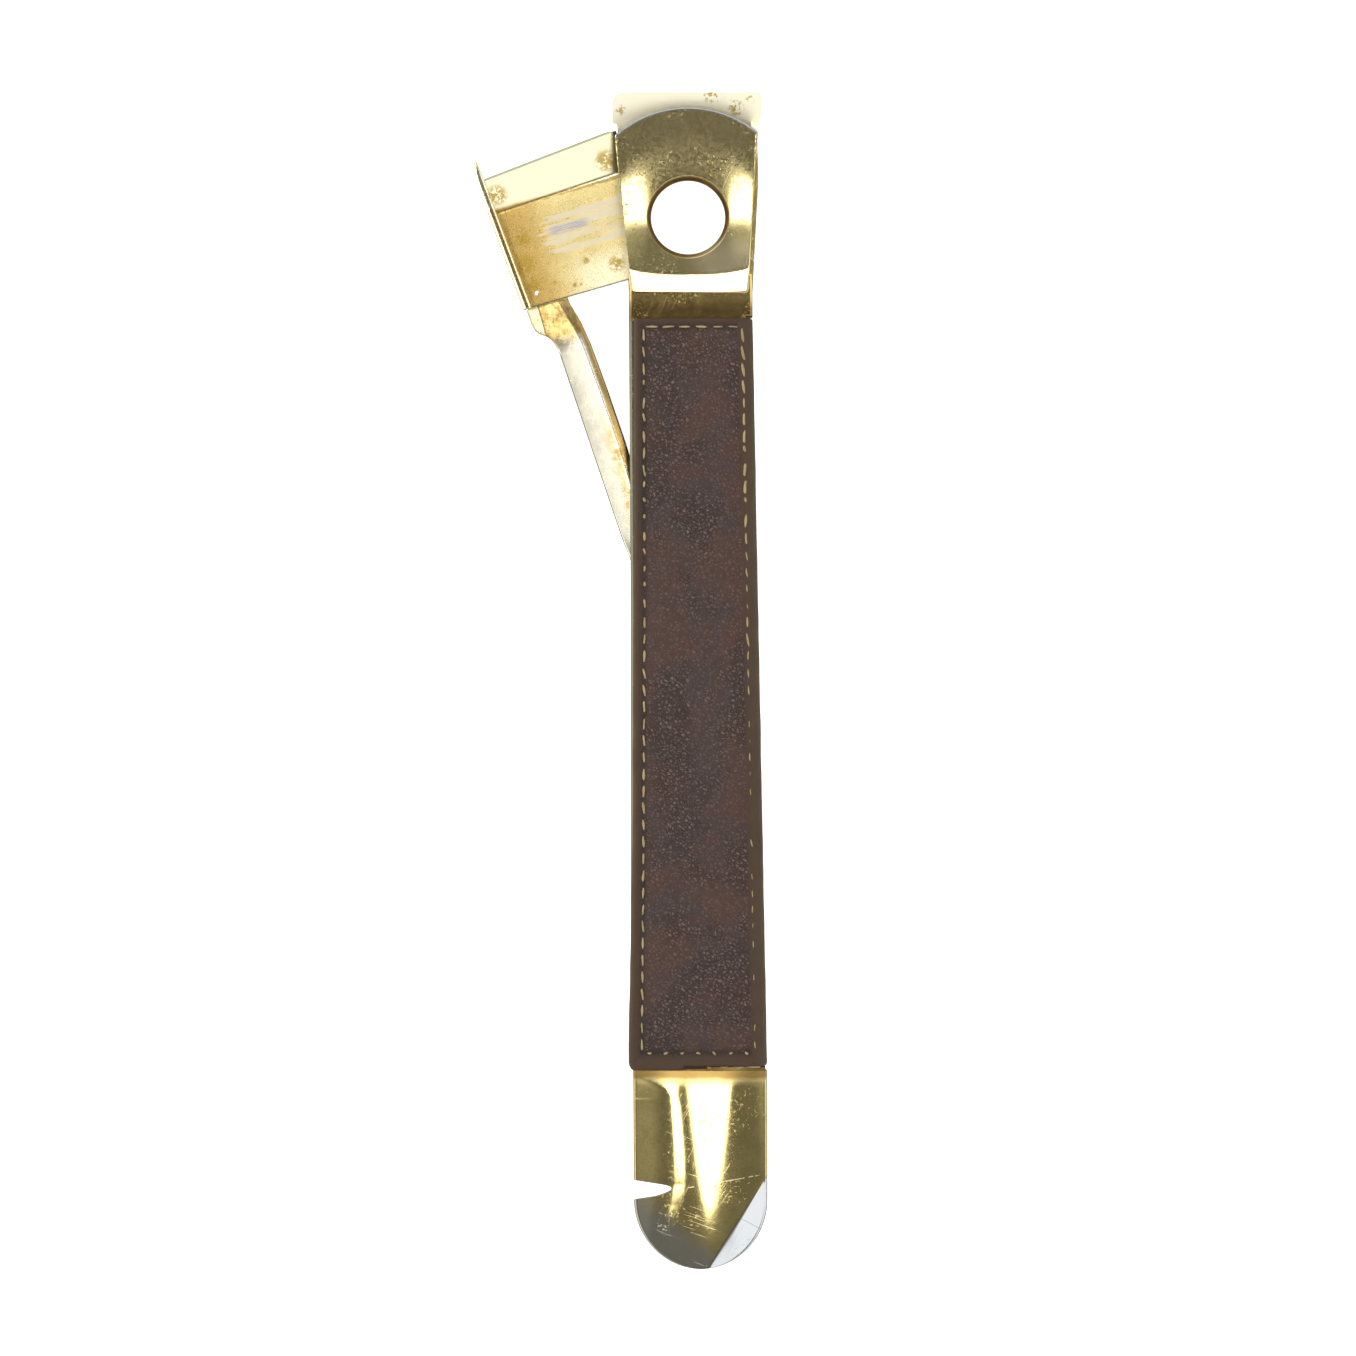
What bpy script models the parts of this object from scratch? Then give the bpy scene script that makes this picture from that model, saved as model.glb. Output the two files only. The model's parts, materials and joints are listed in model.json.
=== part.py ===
"""Leather-handled lever cigar cutter, lying on its back.

Origin: on the lever's pivot axis, in the plane the back of the sleeve rests on.
+X points to the closed side of the handle, +Y to the cutting head, +Z out of the front face.
Lengths below are in millimetres and are scaled once, when a mesh is written.
"""

import math

import bmesh
import bpy
from mathutils import Matrix, Vector

MM = 0.001

# Heights above the resting plane.
SLEEVE_FRONT = 9.6
LEATHER = 0.85
FIT_GAP = 0.15
SHEET = 1.0
BACK_OUTER = LEATHER + FIT_GAP
BACK_INNER = BACK_OUTER + SHEET
WALL_TOP = 7.5
FRONT_LOW = WALL_TOP + FIT_GAP
FRONT_HIGH = SLEEVE_FRONT - LEATHER - FIT_GAP
PLATE_LOW = FRONT_HIGH + FIT_GAP
PLATE_HIGH = 9.9

# Places along the handle.
HEAD_TOP = 71.1
PLATE_BOTTOM = 43.0
FRAME_UNDER_PLATE = 45.8
SLEEVE_TOP = 39.5
SLEEVE_BOTTOM = -65.3
SLOT_END = 4.2
FRAME_BOTTOM = -65.6
CAP_TOP = -65.9
CAP_ROUND_Y = -84.1
CAP_BOTTOM = -93.9
CAP_HALF_WIDTH = 9.4

# Sides of the handle and the neck.
FRAME_LEFT = -4.1
NECK_LEFT = -4.35
LEFT_WALL = 0.4
RIGHT_AT_TOP = 12.05
RIGHT_AT_BOTTOM = 14.1
NECK_RIGHT = 12.97
HEAD_RIGHT = 13.74
FLARE_RIGHT = 14.3
FLARE_LEFT = -6.73
FLARE_BOTTOM = 67.0
FLARE_CORNER_RIGHT = 0.7
FLARE_CORNER_LEFT = 1.7
HEAD_WIDEST_Y = 58.0
SIDE_WALL_TOP = 66.9
SHEET_BEND = 0.5
FRONT_EDGE = 0.35

# The leather sleeve.
SLEEVE_LEFT_TOP = -3.65
SLEEVE_LEFT_LOW = -4.4
SLEEVE_ROUND = 2.0
SLEEVE_STEP_X = 3.1
SLEEVE_STEP = 0.55

# The cigar hole.
HOLE_X = 3.93
HOLE_Y = 53.6
HOLE_RADIUS = 5.95
THROAT_RADIUS = 5.2
THROAT_OUTER = 5.7
THROAT_LOW = 5.3
OUTLET_RADIUS = 7.0

# The head's front plate: corners, arc, dish round the hole, slope along the lower edge.
PLATE_RIGHT_TOP = (13.6, 65.9)
PLATE_LEFT_TOP = (-6.03, 65.2)
PLATE_RIGHT_LOW = 12.35
PLATE_LEFT_LOW = -3.93
PLATE_ARC_RADIUS = 15.4
PLATE_EDGE = 0.45
DISH_RADIUS = 60.0
DISH_REACH = 9.2
STRIP_LENGTH = 3.4
STRIP_DROP = 0.6

# The head's back wall and the blade's upper part slope forward alike.
HEAD_SLOPE = math.radians(25.6)
BACK_BEND_Y = 56.5

# Lever and blade, drawn in the closed position.
OPEN_ANGLE = math.radians(16.0)
ARM_LOW = 2.5
ARM_HIGH = 5.6
ARM_HEAD_HIGH = 3.85
ARM_EDGE = 0.6
ARM_EASE_Y = 39.0
ARM_EASE_DROP = 0.8
HUB_RADIUS = 2.9
PIN_RADIUS = 1.5
RUNNING_GAP = 0.06
BLADE_LOW = 4.0
BLADE_HIGH = 4.9
BLADE_BOTTOM = 44.6
BLADE_CREASE = 59.0
BLADE_TOP = 66.5
BLADE_TOP_LEFT = 63.2
BLADE_TOP_RIGHT = 64.9
BLADE_TIP = 12.2
BLADE_TIP_LOW = 11.6
EDGE_HOLLOW = 0.4
FLANGE_THICKNESS = 1.2
FLANGE_HIGH = 9.3
FLANGE_TOP = (-8.85, 66.2)
FLANGE_BOTTOM = (-6.95, 41.2)
FLANGE_STEP = 44.4
RIVET_RADIUS = 0.75
RELIEF_RADIUS = 0.32
RELIEF_Y = 46.2
RELIEF_INSET = 2.6
BLADE_RIVETS = {"blade_rivet_upper": (-3.0, 49.5), "blade_rivet_lower": (-2.6, 46.2)}

# Spring.
SPRING_THICKNESS = 0.45
SPRING_LOW = 2.7
SPRING_HIGH = 5.4
SPRING_MIDDLE = (SPRING_LOW + SPRING_HIGH) / 2.0
SPRING_RIVETS = {"spring_rivet_upper": -34.0, "spring_rivet_lower": -40.0}
SPRING_END_Y = -43.0
SPRING_STRAIGHT_Y = -30.0
SPRING_TIP = (-1.35, 12.0)

# Stitching: the seam's four sides, its thread and the groove it lies in.
SEAM_LEFT = -2.25
SEAM_RIGHT_TOP = 11.5
SEAM_RIGHT_BOTTOM = 13.3
SEAM_TOP = 38.3
SEAM_BOTTOM = -63.4
THREAD_WIDTH = 0.5
THREAD_HEIGHT = 0.3
GROOVE_WIDTH = 0.9
GROOVE_DEPTH = 0.4
EDGE_THREAD_RADIUS = 0.13
EDGE_THREAD_FROM = 3.7
EDGE_THREAD_TO = 12.0

# End cap; pairs are values at the sleeve and at the tip.
CAP_CENTRE = (5.6, 5.75)
CAP_MIDDLE = (4.85, 4.7)
CAP_CROWN = (4.35, 0.75)
CAP_EDGE = (3.0, 0.35)
CAP_SQUARENESS = 0.55
CAP_FULLNESS = 2.4
CAP_NOTCH = [(-9.0, -81.2), (1.2, -82.3), (1.72, -82.65), (1.2, -82.95), (-3.2, -84.2), (-9.0, -85.9)]
CAP_PIN_RADIUS = 1.0
CAP_PINS = {"cap_pin_left": (0.2, -61.5), "cap_pin_right": (9.6, -61.5)}
TANG_TOP = -57.5
TANG_ROOT = -66.2

# Cutters reach well past the part.
BELOW = -2.0
ABOVE = 14.0
FAR = 80.0
ACROSS = (-30.0, 30.0)

ROUND_STEPS = 40
SMALL_ROUND_STEPS = 24

# Colour, roughness and metallic value of each finish.
FINISHES = {
    "gold_frame": ((0.42, 0.33, 0.13), 0.22, 1.0),
    "gold_head": ((0.38, 0.31, 0.14), 0.16, 1.0),
    "gold_arm": ((0.62, 0.46, 0.16), 0.25, 1.0),
    "gold_blade": ((0.6, 0.43, 0.14), 0.22, 1.0),
    "gold_cap": ((0.4, 0.31, 0.13), 0.12, 1.0),
    "steel": ((0.5, 0.5, 0.5), 0.3, 1.0),
    "spring_steel": ((0.3, 0.31, 0.34), 0.35, 1.0),
    "leather": ((0.104, 0.067, 0.057), 0.55, 0.0),
    "thread": ((0.4, 0.3, 0.13), 0.8, 0.0),
}


def clear_scene():
    for obj in list(bpy.data.objects):
        bpy.data.objects.remove(obj, do_unlink=True)


def material(name, colour, roughness, metallic):
    made = bpy.data.materials.new(name)
    made.use_nodes = True
    shader = made.node_tree.nodes["Principled BSDF"]
    shader.inputs["Base Color"].default_value = (*colour, 1.0)
    shader.inputs["Roughness"].default_value = roughness
    shader.inputs["Metallic"].default_value = metallic
    made.diffuse_color = (*colour, 1.0)
    return made


def arc(centre, radius, start, end, steps):
    """Points on an arc, angles in degrees, both ends included."""
    points = []
    for i in range(steps + 1):
        angle = math.radians(start + (end - start) * i / steps)
        points.append((centre[0] + radius * math.cos(angle), centre[1] + radius * math.sin(angle)))
    return points


def circle(centre, radius, steps=ROUND_STEPS):
    return arc(centre, radius, 0.0, 360.0, steps)[:-1]


def mix(a, b, t):
    return a + (b - a) * t


def right_side(y, outside=0.0):
    """The handle's right side leans out slightly towards the cap."""
    t = (SLEEVE_TOP - y) / (SLEEVE_TOP - FRAME_BOTTOM)
    return mix(RIGHT_AT_TOP, RIGHT_AT_BOTTOM, t) + outside


def flange_side(y, inward=0.0):
    """The flange's outer face leans with the head's left side."""
    t = (y - FLANGE_BOTTOM[1]) / (FLANGE_TOP[1] - FLANGE_BOTTOM[1])
    return mix(FLANGE_BOTTOM[0], FLANGE_TOP[0], t) + inward


def object_from(name, bm, paint):
    """Write a bmesh drawn in millimetres to a named object in metres."""
    bmesh.ops.recalc_face_normals(bm, faces=bm.faces)
    bmesh.ops.scale(bm, vec=(MM, MM, MM), verts=bm.verts)
    mesh = bpy.data.meshes.new(name)
    bm.to_mesh(mesh)
    bm.free()
    obj = bpy.data.objects.new(name, mesh)
    bpy.context.scene.collection.objects.link(obj)
    if paint:
        mesh.materials.append(paint)
    return obj


def prism_mesh(outline, low, high, axis="Z"):
    """Extrude an outline along an axis: XY for Z, YZ for X, XZ for Y."""
    place = {
        "Z": lambda a, b, h: (a, b, h),
        "X": lambda a, b, h: (h, a, b),
        "Y": lambda a, b, h: (a, h, b),
    }[axis]
    bm = bmesh.new()
    base = [bm.verts.new(place(a, b, low)) for a, b in outline]
    face = bm.faces.new(base)
    grown = bmesh.ops.extrude_face_region(bm, geom=[face])
    moved = [item for item in grown["geom"] if isinstance(item, bmesh.types.BMVert)]
    bmesh.ops.translate(bm, verts=moved, vec=Vector(place(0.0, 0.0, high - low)))
    return bm


def round_edges(bm, chosen, width, segments):
    """Bevel the edges for which chosen(edge) holds."""
    edges = [edge for edge in bm.edges if chosen(edge)]
    bmesh.ops.bevel(
        bm, geom=edges, offset=width, segments=segments, profile=0.5, affect="EDGES", clamp_overlap=True
    )


def at_height(edge, height):
    return all(abs(vert.co.z - height) < 0.01 for vert in edge.verts)


def prism(name, outline, low, high, paint, axis="Z", rounding=None):
    """A prism, with rounding = (heights, width, segments) for its flat faces' rims."""
    bm = prism_mesh(outline, low, high, axis)
    if rounding:
        heights, width, segments = rounding
        round_edges(bm, lambda edge: any(at_height(edge, h) for h in heights), width, segments)
    return object_from(name, bm, paint)


def ring_prism(name, outer, inner, low, high, paint):
    """A closed band between two outlines with the same number of points."""
    bm = bmesh.new()
    rows = []
    for outline, height in ((outer, low), (outer, high), (inner, high), (inner, low)):
        rows.append([bm.verts.new((x, y, height)) for x, y in outline])
    count = len(outer)
    for i in range(count):
        j = (i + 1) % count
        for k in range(4):
            here, there = rows[k], rows[(k + 1) % 4]
            bm.faces.new((here[i], here[j], there[j], there[i]))
    return object_from(name, bm, paint)


def turned(name, profile, centre, paint, steps=ROUND_STEPS):
    """Spin a closed (radius, height) profile about a vertical axis; radius 0 closes on the axis."""
    bm = bmesh.new()
    rows = []
    for radius, height in profile:
        if radius == 0.0:
            rows.append([bm.verts.new((centre[0], centre[1], height))])
            continue
        rows.append([bm.verts.new((x, y, height)) for x, y in circle(centre, radius, steps)])
    for here, there in zip(rows, rows[1:] + rows[:1]):
        if len(here) == 1 and len(there) == 1:
            continue
        for i in range(steps):
            j = (i + 1) % steps
            near_edge = [here[i % len(here)], here[j % len(here)]]
            far_edge = [there[j % len(there)], there[i % len(there)]]
            bm.faces.new(list(dict.fromkeys(near_edge + far_edge)))
    return object_from(name, bm, paint)


def boolean(target, tool, operation="DIFFERENCE"):
    step = target.modifiers.new(tool.name, "BOOLEAN")
    step.operation = operation
    step.solver = "EXACT"
    step.object = tool
    tool.hide_render = True
    tool.display_type = "WIRE"


def smooth(obj, angle=32.0):
    obj.data.shade_smooth()
    obj.data.set_sharp_from_angle(angle=math.radians(angle))


def drill(target, name, centre, radius, low=BELOW, high=ABOVE):
    """A hole along Z."""
    boolean(target, prism(name, circle(centre, radius), low, high, None))


def drill_right_wall(target, name, y):
    """A rivet hole along X through whatever lies at the right wall, at the spring's height."""
    outline = circle((y, SPRING_MIDDLE), RIVET_RADIUS + FIT_GAP, SMALL_ROUND_STEPS)
    wall = right_side(y)
    boolean(target, prism(name, outline, wall - 4.0 * SHEET, wall + SHEET, None, axis="X"))


def back_slope(y, height):
    """A line through the bend that rises with the head's slope."""
    return height + (y - BACK_BEND_Y) * math.tan(HEAD_SLOPE)


def frame_outline():
    """Outer edge of the back frame, anticlockwise from the lower right."""
    right_corner = (FLARE_RIGHT - FLARE_CORNER_RIGHT, HEAD_TOP - FLARE_CORNER_RIGHT)
    left_corner = (FLARE_LEFT + FLARE_CORNER_LEFT, HEAD_TOP - FLARE_CORNER_LEFT)
    return [
        (right_side(FRAME_BOTTOM), FRAME_BOTTOM),
        (right_side(SLEEVE_TOP), SLEEVE_TOP + FIT_GAP),
        (NECK_RIGHT, SLEEVE_TOP + FIT_GAP),
        (NECK_RIGHT, PLATE_BOTTOM),
        (HEAD_RIGHT, HEAD_WIDEST_Y),
        (HEAD_RIGHT, FLARE_BOTTOM - 0.8),
        (FLARE_RIGHT, FLARE_BOTTOM + 1.4),
        *arc(right_corner, FLARE_CORNER_RIGHT, 0.0, 90.0, 3),
        *arc(left_corner, FLARE_CORNER_LEFT, 90.0, 180.0, 4),
        (FLARE_LEFT, FLARE_BOTTOM),
        (PLATE_LEFT_TOP[0], FLARE_BOTTOM - 0.3),
        (NECK_LEFT, PLATE_BOTTOM),
        *handle_left_outline(),
    ]


def handle_left_outline():
    """Left edge shared by the back and the front of the frame."""
    return [(NECK_LEFT, SLEEVE_TOP), (FRAME_LEFT, 0.0), (FRAME_LEFT, FRAME_BOTTOM)]


def cavity_outline():
    """Room inside the frame: open on the left above the slot's end, and above the head's side wall."""
    left, right = ACROSS
    return [
        (right_side(-FAR, -SHEET), -FAR),
        (right_side(SLEEVE_TOP, -SHEET), SLEEVE_TOP),
        (NECK_RIGHT - SHEET, SLEEVE_TOP + FIT_GAP + SHEET),
        (NECK_RIGHT - SHEET, PLATE_BOTTOM),
        (HEAD_RIGHT - SHEET, HEAD_WIDEST_Y),
        (HEAD_RIGHT - SHEET, SIDE_WALL_TOP),
        (right, SIDE_WALL_TOP),
        (right, FAR),
        (left, FAR),
        (left, SLOT_END),
        (FRAME_LEFT + LEFT_WALL, SLOT_END),
        (FRAME_LEFT + LEFT_WALL, -FAR),
    ]


def side_shape():
    """The back frame seen from the side: flat back, sloping head, walls that end under the front parts."""
    under_plate = PLATE_LOW - FIT_GAP
    bend = BACK_BEND_Y + SHEET * math.tan(HEAD_SLOPE / 2.0)
    outer_slope = back_slope(FAR, BACK_INNER) - SHEET / math.cos(HEAD_SLOPE)
    return [
        (-FAR, BACK_OUTER - SHEET),
        (bend, BACK_OUTER - SHEET),
        (bend, BACK_OUTER),
        (FAR, outer_slope),
        (FAR, ABOVE),
        (HEAD_TOP, ABOVE),
        (FLARE_BOTTOM + SHEET, under_plate),
        (FRAME_UNDER_PLATE + FIT_GAP, under_plate),
        (FRAME_UNDER_PLATE + FIT_GAP, WALL_TOP),
        (-FAR, WALL_TOP),
    ]


def inside_shape():
    """Room over the back wall, seen from the side."""
    return [
        (-FAR, BACK_INNER),
        (BACK_BEND_Y, BACK_INNER),
        (FAR, back_slope(FAR, BACK_INNER)),
        (FAR, 2.0 * ABOVE),
        (-FAR, 2.0 * ABOVE),
    ]


def drill_pin_holes(frame, side):
    """Holes for the pivot pin and the cap's pins, named after the side of the frame they are in."""
    drill(frame, side + "_pivot_cut", (0.0, 0.0), PIN_RADIUS + FIT_GAP)
    for name, centre in CAP_PINS.items():
        drill(frame, name + "_" + side + "_cut", centre, CAP_PIN_RADIUS + FIT_GAP)


def back_frame(paint):
    """Back wall, right wall, left wall below the slot, and the head's sloping back."""
    bm = prism_mesh(frame_outline(), BACK_OUTER, ABOVE)
    round_edges(bm, lambda edge: at_height(edge, BACK_OUTER), SHEET_BEND, 2)
    frame = object_from("back_frame", bm, paint)
    boolean(frame, prism("frame_side_shape", side_shape(), *ACROSS, None, axis="X"), "INTERSECT")
    cavity = prism("frame_cavity", cavity_outline(), BELOW, 2.0 * ABOVE, None)
    boolean(cavity, prism("frame_cavity_side", inside_shape(), *ACROSS, None, axis="X"), "INTERSECT")
    boolean(frame, cavity)
    drill(frame, "outlet_cut", (HOLE_X, HOLE_Y), OUTLET_RADIUS)
    drill_pin_holes(frame, "back")
    for name, y in SPRING_RIVETS.items():
        drill_right_wall(frame, name + "_wall_cut", y)
    smooth(frame)
    return frame


def front_frame(paint):
    """Front wall of the handle; the neck is its bare upper end."""
    outline = [
        (right_side(FRAME_BOTTOM), FRAME_BOTTOM),
        (right_side(SLEEVE_TOP), SLEEVE_TOP + FIT_GAP),
        (NECK_RIGHT, SLEEVE_TOP + FIT_GAP),
        (NECK_RIGHT, FRAME_UNDER_PLATE),
        (NECK_LEFT, FRAME_UNDER_PLATE),
        *handle_left_outline(),
    ]
    rounding = ((FRONT_HIGH,), FRONT_EDGE, 2)
    frame = prism("front_frame", outline, FRONT_LOW, FRONT_HIGH, paint, rounding=rounding)
    drill_pin_holes(frame, "front")
    smooth(frame)
    return frame


def plate_outline():
    """Front plate of the head: an arc about the hole, leaning sides, straight lower edge."""
    first, last = (
        math.degrees(math.atan2(y - HOLE_Y, x - HOLE_X)) for x, y in (PLATE_RIGHT_TOP, PLATE_LEFT_TOP)
    )
    return [
        (PLATE_RIGHT_LOW, PLATE_BOTTOM),
        (PLATE_RIGHT_TOP[0], PLATE_RIGHT_TOP[1] - 1.0),
        *arc((HOLE_X, HOLE_Y), PLATE_ARC_RADIUS, first - 1.0, last + 1.0, 18),
        (PLATE_LEFT_TOP[0], PLATE_LEFT_TOP[1] - 0.8),
        (PLATE_LEFT_LOW, PLATE_BOTTOM),
    ]


def dish_height(distance):
    """Height of the dish at a distance from the hole's centre; it meets the face at the dish's reach."""
    return PLATE_HIGH - (DISH_REACH**2 - distance**2) / (2.0 * DISH_RADIUS)


def throat_tube():
    """Tube under the plate that guides the cigar to the blade."""
    inner = THROAT_RADIUS - 1.0
    top = PLATE_LOW + 0.45
    profile = [(inner, THROAT_LOW), (THROAT_OUTER, THROAT_LOW), (THROAT_OUTER, top), (inner, top)]
    return turned("throat_tube", profile, (HOLE_X, HOLE_Y), None)


def dish_cutter():
    steps = 9
    widest = DISH_REACH * 1.1
    profile = [(widest * i / steps, dish_height(widest * i / steps)) for i in range(steps + 1)]
    profile += [(widest, ABOVE), (0.0, ABOVE)]
    return turned("dish_cut", profile, (HOLE_X, HOLE_Y), None, 48)


def strip_cutter():
    """Slopes the front face down towards the plate's lower edge."""
    overshoot = 1.0
    slope = [
        (PLATE_BOTTOM - overshoot, PLATE_HIGH - STRIP_DROP * (1.0 + overshoot / STRIP_LENGTH)),
        (PLATE_BOTTOM + STRIP_LENGTH, PLATE_HIGH),
        (PLATE_BOTTOM + STRIP_LENGTH, ABOVE),
        (PLATE_BOTTOM - overshoot, ABOVE),
    ]
    return prism("plate_strip_cut", slope, *ACROSS, None, axis="X")


def hole_cutter():
    """Straight throat, then a flare to the rim of the dish."""
    flare = 0.9
    rim = dish_height(HOLE_RADIUS)
    profile = [
        (0.0, BELOW),
        (THROAT_RADIUS, BELOW),
        (THROAT_RADIUS, rim - flare),
        (HOLE_RADIUS, rim),
        (HOLE_RADIUS, ABOVE),
        (0.0, ABOVE),
    ]
    return turned("hole_cut", profile, (HOLE_X, HOLE_Y), None)


def head_plate(paint):
    """Front plate, dished round the hole, with the throat on its back."""
    rounding = ((PLATE_HIGH,), PLATE_EDGE, 3)
    plate = prism("head_plate", plate_outline(), PLATE_LOW, PLATE_HIGH, paint, rounding=rounding)
    boolean(plate, throat_tube(), "UNION")
    for cutter in (dish_cutter(), strip_cutter(), hole_cutter()):
        boolean(plate, cutter)
    smooth(plate, 24.0)
    return plate


def arm_outline():
    """The lever's arm, closed: hub at the pivot, long taper, head under the blade, shoulder."""
    right = [
        (2.2, 4.0),
        (1.6, 9.0),
        (1.5, 22.0),
        (1.1, 30.3),
        (0.6, 37.2),
        (0.1, 40.6),
        (-0.7, 43.6),
        (-0.9, 46.0),
    ]
    shoulder = [
        (-4.3, 46.5),
        (-5.2, FLANGE_STEP - 0.05),
        (-6.85, FLANGE_STEP - 0.05),
        (-6.65, 41.6),
        (-6.15, 40.6),
        (-5.3, 40.2),
        (-4.6, 39.3),
        (-4.1, 37.8),
    ]
    left = [(-4.0, 36.0), (-3.35, 22.0), (-2.75, 9.5), (-2.35, 5.6), (-2.0, 3.2), (-2.5, 0.8)]
    hub = arc((0.0, 0.0), HUB_RADIUS, 215.0, 360.0, 9)
    head = arc((-2.6, 50.4), 1.7, 0.0, 150.0, 6)
    return [*hub, *right, *head, *shoulder, *left]


def lever_arm(paint):
    """Steel arm: full height along the handle, thinner where the blade lies on it."""
    rounding = ((ARM_HIGH,), ARM_EDGE, 3)
    arm = prism("lever_arm", arm_outline(), ARM_LOW, ARM_HIGH, paint, rounding=rounding)
    seat_y = FLANGE_STEP - 0.3
    step = [
        (ARM_EASE_Y, ARM_HIGH + 0.02),
        (seat_y, ARM_HIGH - ARM_EASE_DROP),
        (seat_y, ARM_HEAD_HIGH),
        (HEAD_TOP, ARM_HEAD_HIGH),
        (HEAD_TOP, ABOVE),
        (ARM_EASE_Y, ABOVE),
    ]
    boolean(arm, prism("arm_step_cut", step, *ACROSS, None, axis="X"))
    drill(arm, "arm_bore_cut", (0.0, 0.0), PIN_RADIUS + RUNNING_GAP)
    for name, centre in BLADE_RIVETS.items():
        drill(arm, name + "_arm_cut", centre, RIVET_RADIUS + FIT_GAP)
    smooth(arm)
    return arm


def blade_side():
    """The folded sheet seen from the side: flat cutting plate, then the slope."""
    thick = BLADE_HIGH - BLADE_LOW
    bend = thick * math.tan(HEAD_SLOPE / 2.0)
    top = BLADE_HIGH + (BLADE_TOP - BLADE_CREASE) * math.tan(HEAD_SLOPE)
    return [
        (BLADE_BOTTOM, BLADE_LOW),
        (BLADE_CREASE + bend, BLADE_LOW),
        (BLADE_TOP + thick * math.sin(HEAD_SLOPE), top - thick * math.cos(HEAD_SLOPE)),
        (BLADE_TOP, top),
        (BLADE_CREASE, BLADE_HIGH),
        (BLADE_BOTTOM, BLADE_HIGH),
    ]


def blade_plan():
    """The blade from the front: hollow cutting edge on the right, flange side on the left."""
    steps = 10
    tip = []
    for i in range(steps + 1):
        t = i / steps
        hollow = EDGE_HOLLOW * math.sin(math.pi * t)
        y = mix(BLADE_BOTTOM - 0.5, BLADE_CREASE + 1.5, t)
        tip.append((mix(BLADE_TIP_LOW, BLADE_TIP, t) - hollow, y))
    inside_flange = FLANGE_THICKNESS / 3.0
    below = BLADE_BOTTOM - 5.0
    left_end = BLADE_TOP_LEFT - 1.2
    return [
        (flange_side(below, inside_flange), below),
        (BLADE_TIP_LOW, below),
        *tip,
        (BLADE_TIP, BLADE_TOP_RIGHT),
        (-7.2, BLADE_TOP_LEFT),
        (flange_side(left_end, inside_flange), left_end),
    ]


def flange_plan():
    """The flange from the front: an even band that comes to a point at its top."""
    top = FLANGE_TOP[1]
    places = [
        (FLANGE_STEP, 0.0),
        (FLANGE_STEP, FLANGE_THICKNESS),
        (top - 2.6, FLANGE_THICKNESS),
        (top, FLANGE_THICKNESS - 0.1),
        (top - 0.4, FLANGE_THICKNESS / 3.0),
        (top - 1.6, 0.0),
    ]
    return [(flange_side(y, inward), y) for y, inward in places]


def edge_grinder():
    """Slants the underside of the cutting edge."""
    reach = 1.5
    overshoot = 1.0
    low = BLADE_LOW - 0.05
    fall = (BLADE_HIGH - low - 0.1) / reach
    grind = [
        (BLADE_TIP - reach, low),
        (BLADE_TIP + overshoot, low + fall * (reach + overshoot)),
        (BLADE_TIP + overshoot, low - 2.0),
        (BLADE_TIP - reach, low - 2.0),
    ]
    return prism("edge_grind_cut", grind, BLADE_BOTTOM - 5.0, BLADE_CREASE, None, axis="Y")


def blade(paint):
    """Folded sheet: flat cutting plate, upper part sloping forward, side flange standing forward."""
    sheet = prism("blade", blade_side(), *ACROSS, paint, axis="X")
    boolean(sheet, prism("blade_plan", blade_plan(), BELOW, ABOVE, None), "INTERSECT")
    rounding = ((FLANGE_HIGH, BLADE_LOW), 0.3, 2)
    flange = prism("blade_flange", flange_plan(), BLADE_LOW, FLANGE_HIGH, paint, rounding=rounding)
    boolean(sheet, flange, "UNION")
    boolean(sheet, edge_grinder())
    drill(sheet, "relief_cut", (flange_side(RELIEF_Y, RELIEF_INSET), RELIEF_Y), RELIEF_RADIUS)
    blind = BLADE_HIGH - 0.25
    for name, centre in BLADE_RIVETS.items():
        drill(sheet, name + "_blade_cut", centre, RIVET_RADIUS + FIT_GAP, BELOW, blind)
    smooth(sheet, 20.0)
    return sheet


def blade_rivet(name, centre, paint):
    """Closed with a low head behind the arm; its other end stops just under the blade's face."""
    low = ARM_LOW
    high = BLADE_HIGH - 0.4
    profile = [
        (0.0, BACK_INNER + 0.15),
        (RIVET_RADIUS * 0.9, BACK_INNER + 0.2),
        (RIVET_RADIUS * 1.45, low - 0.1),
        (RIVET_RADIUS, low - 0.1),
        (RIVET_RADIUS, high),
        (0.0, high),
    ]
    rivet = turned(name, profile, centre, paint, 20)
    smooth(rivet)
    return rivet


def pivot_pin(paint):
    edge = 0.25
    profile = [
        (0.0, BACK_OUTER),
        (PIN_RADIUS - edge, BACK_OUTER),
        (PIN_RADIUS, BACK_OUTER + edge),
        (PIN_RADIUS, FRONT_HIGH - edge),
        (PIN_RADIUS - edge, FRONT_HIGH),
        (0.0, FRONT_HIGH),
    ]
    pin = turned("pivot_pin", profile, (0.0, 0.0), paint)
    smooth(pin)
    return pin


def washer(name, low, high, paint):
    """A spacer that keeps the lever in the middle of the channel."""
    inner = PIN_RADIUS + FIT_GAP
    outer = HUB_RADIUS - 0.3
    made = turned(name, [(inner, low), (outer, low), (outer, high), (inner, high)], (0.0, 0.0), paint)
    smooth(made)
    return made


def spring_centre(y):
    """Middle of the leaf: along the wall up to its straight end, then a cubic bow to the tip."""
    wall = right_side(y, -SHEET - FIT_GAP - SPRING_THICKNESS / 2.0)
    if y <= SPRING_STRAIGHT_Y:
        return wall
    t = (y - SPRING_STRAIGHT_Y) / (SPRING_TIP[1] - SPRING_STRAIGHT_Y)
    return mix(wall, SPRING_TIP[0], t * t * (3.0 - t) / 2.0)


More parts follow.
